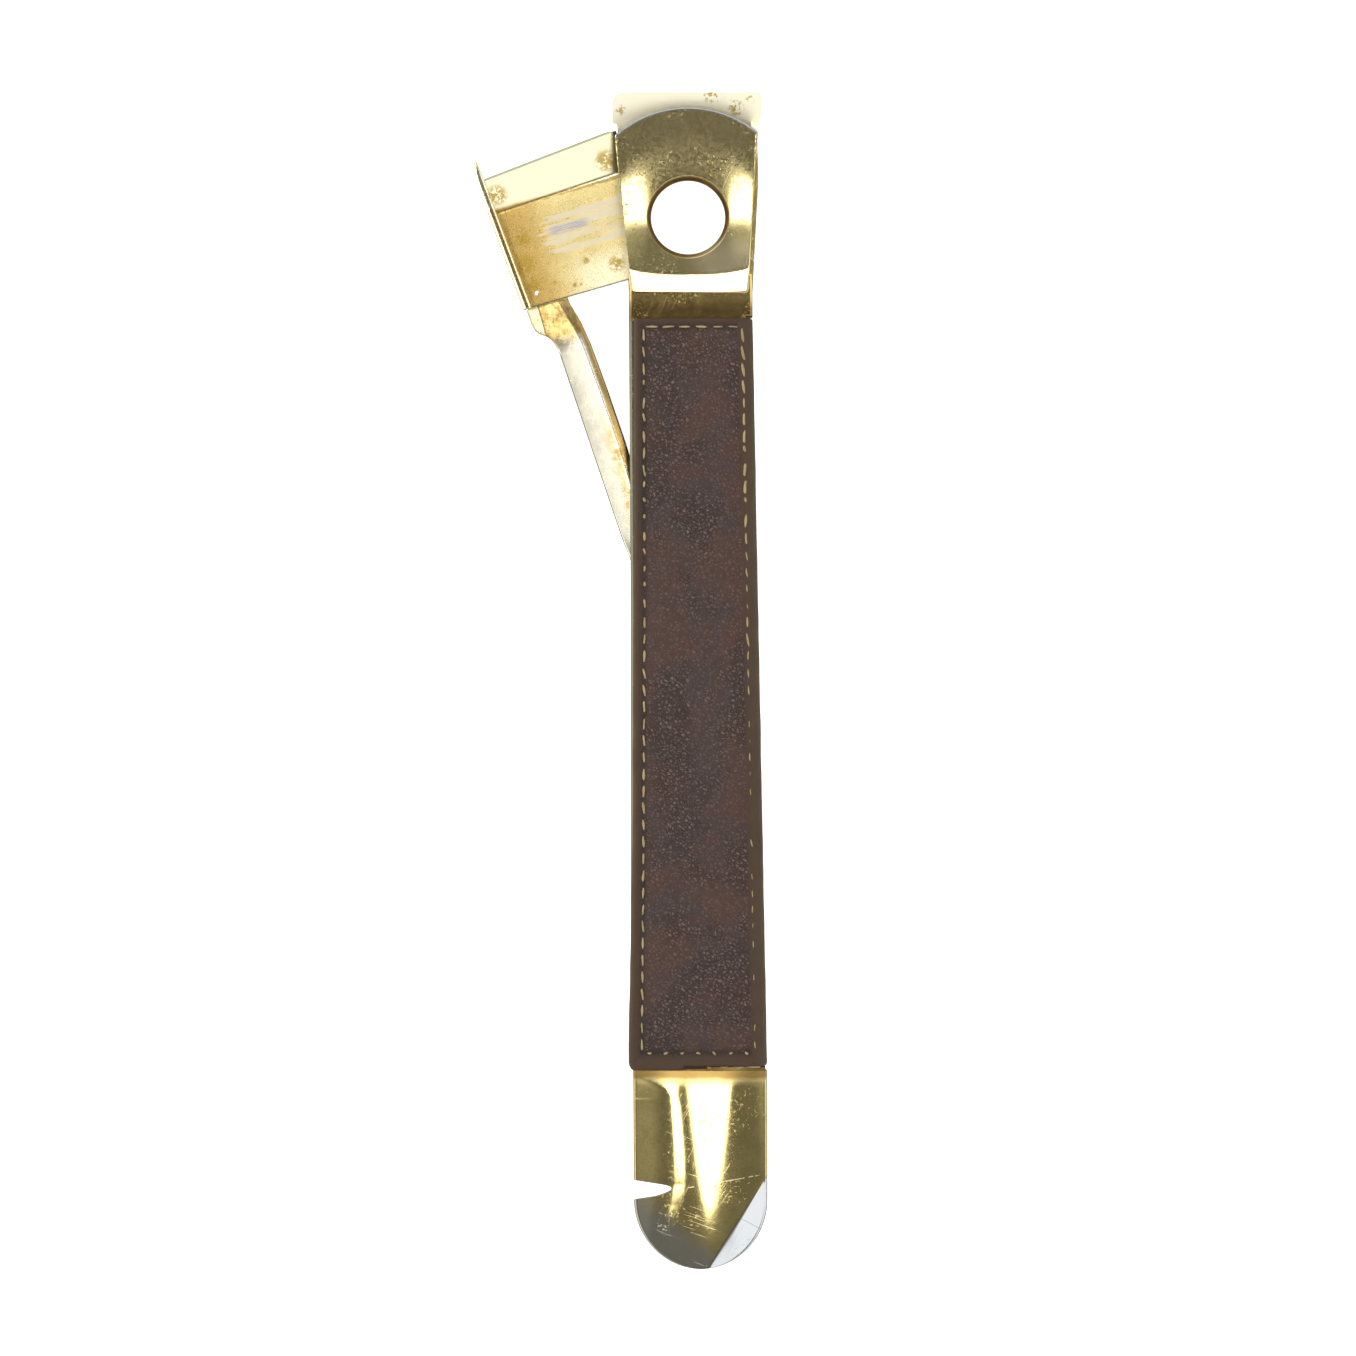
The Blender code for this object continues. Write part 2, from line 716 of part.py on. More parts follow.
def leaf_spring(paint):
    """Flat spring riveted to the right wall; its tip pushes the arm out of the slot."""
    steps = 22
    half = SPRING_THICKNESS / 2.0
    nearby = 0.05
    left = []
    right = []
    for i in range(steps + 1):
        y = mix(SPRING_END_Y, SPRING_TIP[1], i / steps)
        lean = (spring_centre(y + nearby) - spring_centre(y - nearby)) / (2.0 * nearby)
        length = math.hypot(lean, 1.0)
        middle = spring_centre(y)
        left.append((middle - half / length, y + half * lean / length))
        right.append((middle + half / length, y - half * lean / length))
    spring = prism("leaf_spring", right + left[::-1], SPRING_LOW, SPRING_HIGH, paint)
    for name, y in SPRING_RIVETS.items():
        drill_right_wall(spring, name + "_leaf_cut", y)
    smooth(spring)
    return spring


def spring_rivet(name, y, paint):
    """Flush in the wall's outer face, with a head inside the leaf."""
    wall = right_side(y)
    leaf = wall - SHEET - FIT_GAP - SPRING_THICKNESS
    profile = [
        (0.0, leaf - 0.6),
        (RIVET_RADIUS, leaf - 0.55),
        (RIVET_RADIUS * 1.5, leaf - 0.15),
        (RIVET_RADIUS, leaf - 0.15),
        (RIVET_RADIUS, wall - 0.1),
        (0.0, wall - 0.1),
    ]
    rivet = turned(name, profile, (0.0, 0.0), paint, 20)
    along_x = Matrix.Rotation(math.radians(90.0), 4, "Y")
    rivet.data.transform(Matrix.Translation(Vector((0.0, y, SPRING_MIDDLE)) * MM) @ along_x)
    smooth(rivet)
    return rivet


def cap_half_width(y):
    """Half the cap's width: straight sides, then a half round."""
    if y >= CAP_ROUND_Y:
        return CAP_HALF_WIDTH
    t = min((CAP_ROUND_Y - y) / (CAP_ROUND_Y - CAP_BOTTOM), 0.99)
    return CAP_HALF_WIDTH * math.sqrt(1.0 - t * t)


def squared(value):
    """Pushes a cosine or sine outwards, so that a circle turns into a cushion."""
    return math.copysign(abs(value) ** CAP_SQUARENESS, value)


def cap_section(y, points):
    """Cushion-shaped section: full and thick at the sleeve, thinning to a wedge at the end."""
    t = (CAP_TOP - y) / (CAP_TOP - CAP_BOTTOM)
    half = cap_half_width(y)
    crown = mix(*CAP_CROWN, t**1.7)
    edge = mix(*CAP_EDGE, t**1.3)
    section = []
    for i in range(points):
        angle = 2.0 * math.pi * (i + 0.5) / points
        across = squared(math.cos(angle))
        thickness = mix(edge, crown, 1.0 - abs(across) ** CAP_FULLNESS)
        height = mix(*CAP_MIDDLE, t) + thickness * squared(math.sin(angle))
        section.append((mix(*CAP_CENTRE, t) + half * across, y, height))
    return section


def tang_outline():
    """Plug that fills the end of the channel."""
    inside = SHEET + FIT_GAP
    left = FRAME_LEFT + LEFT_WALL + FIT_GAP
    return [
        (right_side(TANG_ROOT, -inside), TANG_ROOT),
        (right_side(TANG_TOP, -inside), TANG_TOP),
        (left, TANG_TOP),
        (left, TANG_ROOT),
    ]


def end_cap(paint):
    """Cast cap with a nail notch in its left side, and a tang that fills the end of the channel."""
    points = 32
    straight = [mix(CAP_TOP, CAP_ROUND_Y, i / 7.0) for i in range(8)]
    round_end = [mix(CAP_ROUND_Y, CAP_BOTTOM, math.sin(math.radians(9.0 * i))) for i in range(1, 10)]
    bm = bmesh.new()
    rows = []
    for y in [*straight, *round_end, CAP_BOTTOM + 0.04]:
        rows.append([bm.verts.new(place) for place in cap_section(y, points)])
    for here, there in zip(rows, rows[1:]):
        for i in range(points):
            j = (i + 1) % points
            bm.faces.new((here[i], here[j], there[j], there[i]))
    bm.faces.new(rows[0])
    bm.faces.new(rows[-1])
    cap = object_from("end_cap", bm, paint)
    tang = prism("cap_tang", tang_outline(), BACK_INNER + FIT_GAP, WALL_TOP - FIT_GAP, None)
    boolean(cap, tang, "UNION")
    boolean(cap, prism("notch_cut", CAP_NOTCH, BELOW, ABOVE, None))
    for name, centre in CAP_PINS.items():
        drill(cap, name + "_tang_cut", centre, CAP_PIN_RADIUS + FIT_GAP)
    smooth(cap, 40.0)
    return cap


def cap_pin(name, centre, paint):
    """Cross pin through both walls and the tang, flush under the leather."""
    outline = circle(centre, CAP_PIN_RADIUS, SMALL_ROUND_STEPS)
    rounding = ((BACK_OUTER, FRONT_HIGH), 0.15, 1)
    pin = prism(name, outline, BACK_OUTER, FRONT_HIGH, paint, rounding=rounding)
    smooth(pin)
    return pin


def seam_corners(outside=0.0):
    """Where the line of stitches turns, moved outwards by a distance."""
    return [
        (SEAM_LEFT - outside, SEAM_TOP + outside),
        (SEAM_LEFT - outside, SEAM_BOTTOM - outside),
        (SEAM_RIGHT_BOTTOM + outside, SEAM_BOTTOM - outside),
        (SEAM_RIGHT_TOP + outside, SEAM_TOP + outside),
    ]


def seam_band(name, width, low, high, paint):
    return ring_prism(name, seam_corners(width / 2.0), seam_corners(-width / 2.0), low, high, paint)


def sleeve_outline():
    """Plan of the sleeve: its left side is a little hollow, and its left part ends lower."""
    outside = LEATHER + FIT_GAP
    return [
        (SLEEVE_LEFT_LOW, SLEEVE_BOTTOM - SLEEVE_STEP),
        (SLEEVE_STEP_X, SLEEVE_BOTTOM - SLEEVE_STEP),
        (SLEEVE_STEP_X + 0.2, SLEEVE_BOTTOM),
        (right_side(SLEEVE_BOTTOM, outside), SLEEVE_BOTTOM),
        (right_side(SLEEVE_TOP, outside), SLEEVE_TOP),
        (SLEEVE_LEFT_TOP, SLEEVE_TOP),
        (SLEEVE_LEFT_TOP - 0.15, -30.0),
        (SLEEVE_LEFT_LOW, -60.0),
    ]


def runs_down_right_side(edge):
    """Whether an edge is one of the sleeve's two long edges on its closed side."""
    first, last = (vert.co for vert in edge.verts)
    level = abs(first.z - last.z) < 0.01
    long = abs(first.y - last.y) > SLEEVE_TOP
    closed_side = min(first.x, last.x) > NECK_RIGHT - SHEET
    return level and long and closed_side


def leather_sleeve(paint):
    """C-shaped cover: front panel, round over the right side, back panel; open at the slot."""
    bm = prism_mesh(sleeve_outline(), 0.0, SLEEVE_FRONT)
    round_edges(bm, runs_down_right_side, SLEEVE_ROUND, 5)
    sleeve = object_from("leather_sleeve", bm, paint)
    inside = [
        (ACROSS[0], -FAR),
        (right_side(-FAR, FIT_GAP), -FAR),
        (right_side(FAR, FIT_GAP), FAR),
        (ACROSS[0], FAR),
    ]
    boolean(sleeve, prism("sleeve_inside", inside, LEATHER, SLEEVE_FRONT - LEATHER, None))
    groove_floor = SLEEVE_FRONT - GROOVE_DEPTH
    boolean(sleeve, seam_band("front_groove", GROOVE_WIDTH, groove_floor, ABOVE, None))
    boolean(sleeve, seam_band("back_groove", GROOVE_WIDTH, BELOW, GROOVE_DEPTH, None))
    smooth(sleeve)
    return sleeve


def edge_thread(paint):
    """Thread showing along the lower edge of the sleeve's right part."""
    y = SLEEVE_BOTTOM - FIT_GAP - EDGE_THREAD_RADIUS
    outline = circle((y, SLEEVE_FRONT - 0.35), EDGE_THREAD_RADIUS, 8)
    thread = prism("edge_thread", outline, EDGE_THREAD_FROM, EDGE_THREAD_TO, paint, axis="X")
    smooth(thread)
    return thread


def lever_parts(paints):
    """Everything that swings with the lever, drawn closed under an empty turned to the open rest."""
    pieces = [lever_arm(paints["gold_arm"]), blade(paints["gold_blade"])]
    for name, centre in BLADE_RIVETS.items():
        pieces.append(blade_rivet(name, centre, paints["steel"]))
    tools = set()
    for piece in pieces:
        tools.update(step.object for step in piece.modifiers if step.type == "BOOLEAN")
    axis = bpy.data.objects.new("lever_axis", None)
    bpy.context.scene.collection.objects.link(axis)
    axis.rotation_euler.z = OPEN_ANGLE
    for piece in [*pieces, *tools]:
        piece.parent = axis


def main():
    clear_scene()
    paints = {name: material(name, *finish) for name, finish in FINISHES.items()}
    back_frame(paints["gold_frame"])
    front_frame(paints["gold_frame"])
    head_plate(paints["gold_head"])
    lever_parts(paints)
    pivot_pin(paints["steel"])
    washer("pivot_washer_back", BACK_INNER + 0.1, ARM_LOW - 0.1, paints["steel"])
    washer("pivot_washer_front", ARM_HIGH + 0.1, FRONT_LOW - 0.1, paints["steel"])
    leaf_spring(paints["spring_steel"])
    for name, y in SPRING_RIVETS.items():
        spring_rivet(name, y, paints["steel"])
    end_cap(paints["gold_cap"])
    for name, centre in CAP_PINS.items():
        cap_pin(name, centre, paints["steel"])
    leather_sleeve(paints["leather"])
    seam_band("front_stitching", THREAD_WIDTH, SLEEVE_FRONT - THREAD_HEIGHT, SLEEVE_FRONT, paints["thread"])
    seam_band("back_stitching", THREAD_WIDTH, 0.0, THREAD_HEIGHT, paints["thread"])
    edge_thread(paints["thread"])


main()
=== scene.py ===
"""Looks of the lever cigar cutter: finer metalwork, stitched leather, worn marks, painted highlights and shade,
and studio light.

Meshes are drawn in millimetres and scaled once. The lever's pieces are drawn closed, about the pivot,
and turned to the open rest pose by the object's rotation.
"""

import json
import random
from collections import namedtuple
from math import atan2, copysign, cos, degrees, exp, hypot, pi, radians, sin, sqrt, tan

import bmesh
import bpy
import numpy as np
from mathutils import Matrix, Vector, noise


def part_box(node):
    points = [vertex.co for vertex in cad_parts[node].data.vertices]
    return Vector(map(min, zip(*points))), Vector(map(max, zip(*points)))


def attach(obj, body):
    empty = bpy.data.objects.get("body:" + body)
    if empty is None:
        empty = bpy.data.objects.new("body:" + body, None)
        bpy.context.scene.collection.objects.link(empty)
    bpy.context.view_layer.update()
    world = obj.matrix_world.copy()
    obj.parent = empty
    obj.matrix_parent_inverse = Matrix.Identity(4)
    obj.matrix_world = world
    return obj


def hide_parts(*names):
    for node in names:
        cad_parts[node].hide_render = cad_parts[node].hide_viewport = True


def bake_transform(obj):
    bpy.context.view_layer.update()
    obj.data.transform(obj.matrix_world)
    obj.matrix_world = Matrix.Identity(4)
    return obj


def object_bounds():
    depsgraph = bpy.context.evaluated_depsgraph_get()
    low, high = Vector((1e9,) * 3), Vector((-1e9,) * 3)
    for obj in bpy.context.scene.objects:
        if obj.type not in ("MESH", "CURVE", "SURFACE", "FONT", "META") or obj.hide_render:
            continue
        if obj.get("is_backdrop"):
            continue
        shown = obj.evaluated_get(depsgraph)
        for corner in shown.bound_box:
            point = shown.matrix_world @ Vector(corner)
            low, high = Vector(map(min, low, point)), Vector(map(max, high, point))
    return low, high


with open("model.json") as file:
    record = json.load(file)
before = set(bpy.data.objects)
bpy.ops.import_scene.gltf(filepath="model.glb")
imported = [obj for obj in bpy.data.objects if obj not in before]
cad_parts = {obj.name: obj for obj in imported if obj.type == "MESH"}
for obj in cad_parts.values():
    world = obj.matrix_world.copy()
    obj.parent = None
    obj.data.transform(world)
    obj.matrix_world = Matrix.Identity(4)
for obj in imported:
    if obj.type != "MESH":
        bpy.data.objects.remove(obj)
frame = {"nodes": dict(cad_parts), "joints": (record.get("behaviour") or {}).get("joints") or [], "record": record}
CAD_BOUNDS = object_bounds()

MM = 0.001
OPEN_ANGLE = radians(max(frame["joints"][0]["range_deg"]))
OPENING = frame["record"]["physics"]["openings"][0]["box_m"]
HOLE_X = (OPENING[0][0] + OPENING[1][0]) / 2.0 / MM
HOLE_Y = (OPENING[0][1] + OPENING[1][1]) / 2.0 / MM


def box_mm(node):
    low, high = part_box(node)
    return low / MM, high / MM


SLEEVE_LOW, SLEEVE_HIGH = box_mm("leather_sleeve")
PLATE_LOW, PLATE_HIGH = box_mm("head_plate")
CAP_LOW = box_mm("end_cap")[0]

# Cutters reach past the part.
UNDER = -2.0
OVER = 12.0


# ---- small helpers


def mix(a, b, t):
    return a + (b - a) * t


def smoothstep(low, high, value):
    t = min(max((value - low) / (high - low), 0.0), 1.0)
    return t * t * (3.0 - 2.0 * t)


def along(table, value):
    """Straight-line interpolation in a short list of (position, value) pairs, rising in position."""
    positions, values = zip(*table)
    return float(np.interp(value, positions, values))


def arc(centre, radius, start, end, steps):
    """Points on an arc, angles in degrees, both ends included."""
    points = []
    for i in range(steps + 1):
        angle = radians(mix(start, end, i / steps))
        points.append((centre[0] + radius * cos(angle), centre[1] + radius * sin(angle)))
    return points


def circle(centre, radius, steps):
    return arc(centre, radius, 0.0, 360.0, steps)[:-1]


def rounded(outline, radius, steps=6):
    """The outline with round corners; radius is a number, or one number for each corner."""
    smallest = 0.01
    result = []
    for i, corner in enumerate(outline):
        size = radius[i] if isinstance(radius, (list, tuple)) else radius
        here = Vector(corner)
        before = Vector(outline[i - 1]) - here
        after = Vector(outline[(i + 1) % len(outline)]) - here
        reach = min(size, 0.45 * before.length, 0.45 * after.length)
        if reach < smallest:
            result.append(corner)
            continue
        first = here + before.normalized() * reach
        last = here + after.normalized() * reach
        for k in range(steps + 1):
            t = k / steps
            point = first.lerp(here, t).lerp(here.lerp(last, t), t)
            result.append((point.x, point.y))
    return result


def finish_mesh(bm, name, sharp=30.0):
    """Write a bmesh drawn in millimetres to an object; sharp is the angle of a hard edge, or None."""
    bmesh.ops.recalc_face_normals(bm, faces=bm.faces)
    bmesh.ops.scale(bm, vec=(MM, MM, MM), verts=bm.verts)
    mesh = bpy.data.meshes.new(name)
    bm.to_mesh(mesh)
    bm.free()
    mesh.shade_smooth()
    if sharp:
        mesh.set_sharp_from_angle(angle=radians(sharp))
    obj = bpy.data.objects.new(name, mesh)
    bpy.context.scene.collection.objects.link(obj)
    return obj


def join_rings(bm, rows, looped=False):
    """Faces between closed rings of points, in order; the ends are capped, or joined when looped."""
    rings = [[bm.verts.new(point) for point in row] for row in rows]
    pairs = list(zip(rings, rings[1:]))
    if looped:
        pairs.append((rings[-1], rings[0]))
    for here, there in pairs:
        for i in range(len(here)):
            j = (i + 1) % len(here)
            bm.faces.new((here[i], here[j], there[j], there[i]))
    if not looped:
        bm.faces.new(rings[0])
        bm.faces.new(rings[-1])


def lofted(name, rows, looped=False, sharp=30.0):
    bm = bmesh.new()
    join_rings(bm, rows, looped)
    return finish_mesh(bm, name, sharp)


def cutter(name, outline):
    """A prism right through the part."""
    return lofted(name, [[(x, y, z) for x, y in outline] for z in (UNDER, OVER)])


def combine(target, tool, operation, sharp=30.0):
    """Boolean, applied at once; the tool is deleted."""
    step = target.modifiers.new("cut", "BOOLEAN")
    step.operation = operation
    step.solver = "EXACT"
    step.object = tool
    bpy.context.view_layer.update()
    graph = bpy.context.evaluated_depsgraph_get()
    mesh = bpy.data.meshes.new_from_object(target.evaluated_get(graph))
    target.modifiers.clear()
    target.data = mesh
    bpy.data.objects.remove(tool, do_unlink=True)
    mesh.shade_smooth()
    mesh.set_sharp_from_angle(angle=radians(sharp))
    return target


# ---- node helpers

Place = namedtuple("Place", "where x y z")


def rgba(value):
    """A tone's name or a colour as red, green, blue and alpha; a socket stays as it is."""
    if isinstance(value, str):
        value = TONES[value]
    if isinstance(value, tuple):
        return (*value, 1.0)
    return value


def darker(tone, share):
    return tuple(part * share for part in TONES[tone])


class Nodes:
    """Short calls for building a node tree."""

    def __init__(self, tree):
        self.tree = tree

    def add(self, kind, **settings):
        node = self.tree.nodes.new(kind)
        for key, value in settings.items():
            setattr(node, key, value)
        return node

    def put(self, socket, value):
        """Link a socket, or set a plain value."""
        if isinstance(value, bpy.types.NodeSocket):
            self.tree.links.new(value, socket)
        elif value is not None:
            socket.default_value = value

    def call(self, kind, output, inputs, **settings):
        """Add a node, fill its inputs by name or number, and return one output."""
        node = self.add(kind, **settings)
        for key, value in inputs.items():
            self.put(node.inputs[key], value)
        return node.outputs[output]

    def math(self, operation, a, b=None):
        return self.call("ShaderNodeMath", 0, {0: a, 1: b}, operation=operation)

    def plus(self, a, b):
        return self.math("ADD", a, b)

    def minus(self, a, b):
        return self.math("SUBTRACT", a, b)

    def times(self, a, b):
        return self.math("MULTIPLY", a, b)

    def most(self, a, b):
        return self.math("MAXIMUM", a, b)

    def distance(self, x, y, centre):
        """Distance in the XY plane to a point."""
        dx = self.minus(x, centre[0])
        dy = self.minus(y, centre[1])
        return self.math("SQRT", self.plus(self.times(dx, dx), self.times(dy, dy)))

    def above(self, p, level, slope):
        """Height over a slanting line that crosses the Y axis at level."""
        return self.minus(p.y, self.plus(self.times(p.x, slope), level))

    def right_of(self, p, foot, lean):
        """Distance to the right of a line that crosses the X axis at foot and leans to the left."""
        return self.minus(p.x, self.minus(foot, self.times(p.y, lean)))

    def ramp(self, value, low, high, kind="SMOOTHSTEP"):
        """0 at low, 1 at high; low may be the larger one."""
        inputs = {"Value": value, "From Min": low, "From Max": high}
        return self.call("ShaderNodeMapRange", "Result", inputs, interpolation_type=kind)

    def band(self, value, low, high, soft):
        """1 between low and high, with soft edges."""
        return self.times(
            self.ramp(value, low - soft, low + soft), self.ramp(value, high + soft, high - soft)
        )

    def mix(self, factor, a, b):
        inputs = {"Factor": factor, "A": rgba(a), "B": rgba(b)}
        return self.call("ShaderNodeMix", "Result", inputs, data_type="RGBA")

    def number(self, factor, a, b):
        return self.call("ShaderNodeMix", "Result", {"Factor": factor, "A": a, "B": b}, data_type="FLOAT")

    def noise(self, vector, scale, detail=3.0, roughness=0.5, distortion=0.0, output="Fac"):
        inputs = {
            "Vector": vector,
            "Scale": scale,
            "Detail": detail,
            "Roughness": roughness,
            "Distortion": distortion,
        }
        return self.call("ShaderNodeTexNoise", output, inputs)

    def wavering(self, value, where, scale, amount, detail=3.0):
        """A coordinate with a little noise added, for ragged borders."""
        return self.plus(value, self.times(self.noise(where, scale, detail), amount))

    def sized(self, vector, factor):
        return self.call("ShaderNodeVectorMath", 0, {0: vector, "Scale": factor}, operation="SCALE")

    def bent(self, vector, scale, amount):
        """The coordinates with a slow drift added, for bending straight patterns."""
        colour = self.noise(vector, scale, 1.0, output="Color")
        middle = (0.5, 0.5, 0.5)
        centred = self.call("ShaderNodeVectorMath", 0, {0: colour, 1: middle}, operation="SUBTRACT")
        drift = self.sized(centred, amount)
        return self.call("ShaderNodeVectorMath", 0, {0: vector, 1: drift}, operation="ADD")

    def cell_borders(self, vector, scale):
        inputs = {"Vector": vector, "Scale": scale}
        return self.call("ShaderNodeTexVoronoi", "Distance", inputs, feature="DISTANCE_TO_EDGE")

    def mapped(self, vector, scale=(1, 1, 1), turn=0.0, shift=(0, 0, 0)):
        """Turned about Z first, then stretched and shifted."""
        if turn:
            vector = self.call("ShaderNodeMapping", 0, {"Vector": vector, "Rotation": (0.0, 0.0, turn)})
        return self.call("ShaderNodeMapping", 0, {"Vector": vector, "Scale": scale, "Location": shift})

    def bump(self, height, strength, depth, normal=None):
        """Relief whose depth is in millimetres."""
        inputs = {"Height": height, "Strength": strength, "Distance": depth * MM, "Normal": normal}
        return self.call("ShaderNodeBump", 0, inputs)

    def place(self):
        """The piece's own coordinates in millimetres, as a vector and as its three parts."""
        where = self.sized(self.add("ShaderNodeTexCoord").outputs["Object"], 1.0 / MM)
        parts = self.add("ShaderNodeSeparateXYZ")
        self.put(parts.inputs[0], where)
        return Place(where, *parts.outputs)

    def attribute(self, name):
        return self.add("ShaderNodeAttribute", attribute_name=name).outputs["Fac"]


def new_material(name):
    made = bpy.data.materials.new(name)
    made.use_nodes = True
    return made, Nodes(made.node_tree), made.node_tree.nodes["Principled BSDF"]


# ---- materials

# Colours of plating, bare metal, stains, painted highlights and shade, leather and thread, as linear red, green,
# blue.
TONES = {
    "head gold": (0.74, 0.63, 0.29),
    "frame gold": (0.80, 0.62, 0.25),
    "cap gold": (0.70, 0.575, 0.235),
    "arm gold": (0.97, 0.92, 0.74),
    "blade gold": (0.80, 0.65, 0.29),
    "head highlight gold": (1.0, 0.97, 0.82),
    "plate highlight gold": (1.0, 0.86, 0.50),
    "slope highlight gold": (0.92, 0.87, 0.60),
    "lower gold": (1.0, 0.90, 0.62),
    "shelf gold": (0.70, 0.63, 0.38),
    "flange gold": (0.70, 0.62, 0.38),
    "entry gold": (0.74, 0.52, 0.18),
    "arm root shade gold": (0.56, 0.40, 0.13),
    "bevel shade gold": (0.60, 0.38, 0.10),
    "orange gold": (0.52, 0.33, 0.09),
    "neck dirt and shade gold": (0.33, 0.235, 0.085),
    "handle grey-green": (0.25, 0.245, 0.175),
    "thin plating": (0.50, 0.51, 0.47),
    "rubbed steel": (0.66, 0.60, 0.47),
    "bare chamfer": (0.60, 0.635, 0.66),
    "rim highlight grey": (0.44, 0.46, 0.47),
    "mauve steel": (0.42, 0.39, 0.41),
    "bright scratch": (0.95, 0.90, 0.78),
    "crack": (0.22, 0.22, 0.22),
    "mottle": (0.30, 0.22, 0.10),
    "olive mottle": (0.25, 0.20, 0.10),
    "speck": (0.16, 0.10, 0.035),
    "brown film": (0.34, 0.22, 0.06),
    "leather shadow brown": (0.34, 0.21, 0.06),
    "cloud": (0.34, 0.215, 0.06),
    "stain": (0.55, 0.40, 0.10),
    "arm stain": (0.45, 0.26, 0.08),
    "blade stain": (0.44, 0.30, 0.055),
    "neck shadow brown": (0.20, 0.13, 0.045),
    "fold shade": (0.42, 0.29, 0.10),
    "arm fold shade": (0.12, 0.075, 0.025),
    "arm edge shade": (0.20, 0.19, 0.15),
    "blade edge shade": (0.12, 0.11, 0.07),
    "plate edge shade": (0.14, 0.10, 0.05),
    "step shade": (0.15, 0.10, 0.035),
    "chamfer outline": (0.10, 0.10, 0.08),
    "steel": (0.55, 0.55, 0.56),
    "blued steel": (0.22, 0.24, 0.30),
    "leather red": (0.064, 0.031, 0.022),
    "leather grey": (0.046, 0.029, 0.0265),
    "leather patch": (0.075, 0.028, 0.0155),
    "grain highlight": (0.205, 0.142, 0.124),
    "grain shade": (0.022, 0.012, 0.009),
    "leather hairline": (0.13, 0.088, 0.072),
    "leather border": (0.052, 0.0285, 0.0135),
    "seam groove shade": (0.018, 0.011, 0.005),
    "leather edge highlight": (0.145, 0.112, 0.062),
    "thread": (0.36, 0.27, 0.115),
    "dirty thread": (0.22, 0.155, 0.062),
    "thread fibre": (0.46, 0.36, 0.19),
    "floor": (0.50, 0.50, 0.50),
    "seen floor low": (0.93, 0.93, 0.93),
    "seen floor high": (0.96, 0.96, 0.96),
    "white": (1.0, 1.0, 1.0),
}
# Places of stains: x, y and radius.
HEAD_STAINS = [(7.4, 71.0, 2.0), (10.6, 68.9, 1.5), (12.6, 70.1, 0.8), (-5.6, 68.7, 1.0)]
ARM_STAINS = [(0.4, 15.0, 2.2), (0.3, 21.0, 1.6)]
BLADE_STAINS = [
    (9.6, 61.4, 2.0), (-6.3, 60.9, 1.9), (-5.2, 50.5, 2.0), (-4.9, 47.2, 1.8), (7.2, 47.1, 1.6),
    (3.1, 48.7, 0.7), (0.7, 45.8, 0.45), (1.6, 45.7, 0.35), (-1.9, 46.9, 0.4), (-4.6, 54.0, 1.5),
]
# Depths of relief in millimetres.
FINE_RELIEF = 0.02
LEATHER_RELIEF = 0.14
THREAD_RELIEF = 0.05


class Look:
    """Colour, roughness and normal of a material while its marks of use and its painted highlights and shade are
    added.
    """

    def __init__(self, n, tone, rough, normal):
        self.n = n
        self.tone = tone
        self.rough = rough
        self.normal = normal

    def tint(self, mask, tone, amount=1.0):
        """Blend a tone in where the mask is 1."""
        self.tone = self.n.mix(mask if amount == 1.0 else self.n.times(mask, amount), self.tone, tone)

    def matt(self, mask, rough):
        """Set the roughness where the mask is 1."""
        self.rough = self.n.number(mask, self.rough, rough)

    def roughen(self, mask, amount):
        self.rough = self.n.plus(self.rough, self.n.times(mask, amount))

    def connect(self, shader, metallic):
        self.n.put(shader.inputs["Base Color"], self.tone)
        self.n.put(shader.inputs["Metallic"], metallic)
        self.n.put(shader.inputs["Roughness"], self.rough)
        self.n.put(shader.inputs["Normal"], self.normal)


def tarnish_specks(n, where, amount):
    """Small irregular specks that gather in patches: 1 on a speck."""
    moved = n.mapped(where, shift=(11.0, 7.7, 14.3))
    low = 0.62 - 0.05 * amount
    speck = n.ramp(n.noise(moved, 2.4, 2.0, 0.6), low, low + 0.08)
    patch = n.ramp(n.noise(moved, 0.22, 2.0, 0.5), 0.5, 0.62)
    return n.times(speck, patch)


def scratches(n, where, turn, seed):
    """Fine long lines along one direction, slightly bent: 1 on a line."""
    stretch = (0.11, 7.0, 0.11)
    moved = n.mapped(n.bent(where, 0.12, 1.2), stretch, turn, (seed, seed, 0))
    return n.ramp(n.noise(moved, 1.0, 1.0, 0.5), 0.70, 0.735)


def around(n, p, places):
    """1 at each place, fading out to its radius."""
    total = 0.0
    for x, y, radius in places:
        total = n.most(total, n.ramp(n.distance(p.x, p.y, (x, y)), radius, 0.35 * radius))
    return total


def blots(n, p, places, low, high, roughness):
    """Ragged blots at the places: 1 on a blot."""
    return n.times(around(n, p, places), n.ramp(n.noise(p.where, 1.5, 3.0, roughness), low, high))


def gilt(name, tone, roughness, seed, wear_and_shading, specks, scratch=0.5, haze=0.06, mottle=0.35):
    """Worn gold plate: mottled film, tarnish specks and fine scratches; the function passed in adds a piece's own
    marks, painted highlights and shade among them.
    """
    made, n, shader = new_material(name)
    p = n.place()
    moved = n.mapped(p.where, shift=(seed, 2.0 * seed, 0.5 * seed))
    film = n.noise(moved, 0.35, 4.0, 0.6)
    grain = n.noise(moved, 2.6, 3.0, 0.65)
    speck = tarnish_specks(n, moved, specks)
    lines = n.most(scratches(n, moved, 0.35, 1.7), scratches(n, moved, -1.05, 5.1))
    height = n.minus(n.times(film, 0.8), n.times(lines, scratch))
    height = n.minus(height, n.times(speck, 0.6))
    look = Look(n, TONES[tone], roughness, n.bump(height, 0.12, FINE_RELIEF))
    look.tint(n.ramp(film, 0.35, 0.7), darker(tone, 0.86))
    look.tint(n.ramp(grain, 0.48, 0.75), "mottle", mottle)
    look.tint(speck, "speck", 0.75 * specks)
    look.roughen(n.ramp(grain, 0.4, 0.8), haze)
    look.roughen(speck, 0.25)
    wear_and_shading(n, look, p)
    look.connect(shader, 1.0)
    return made


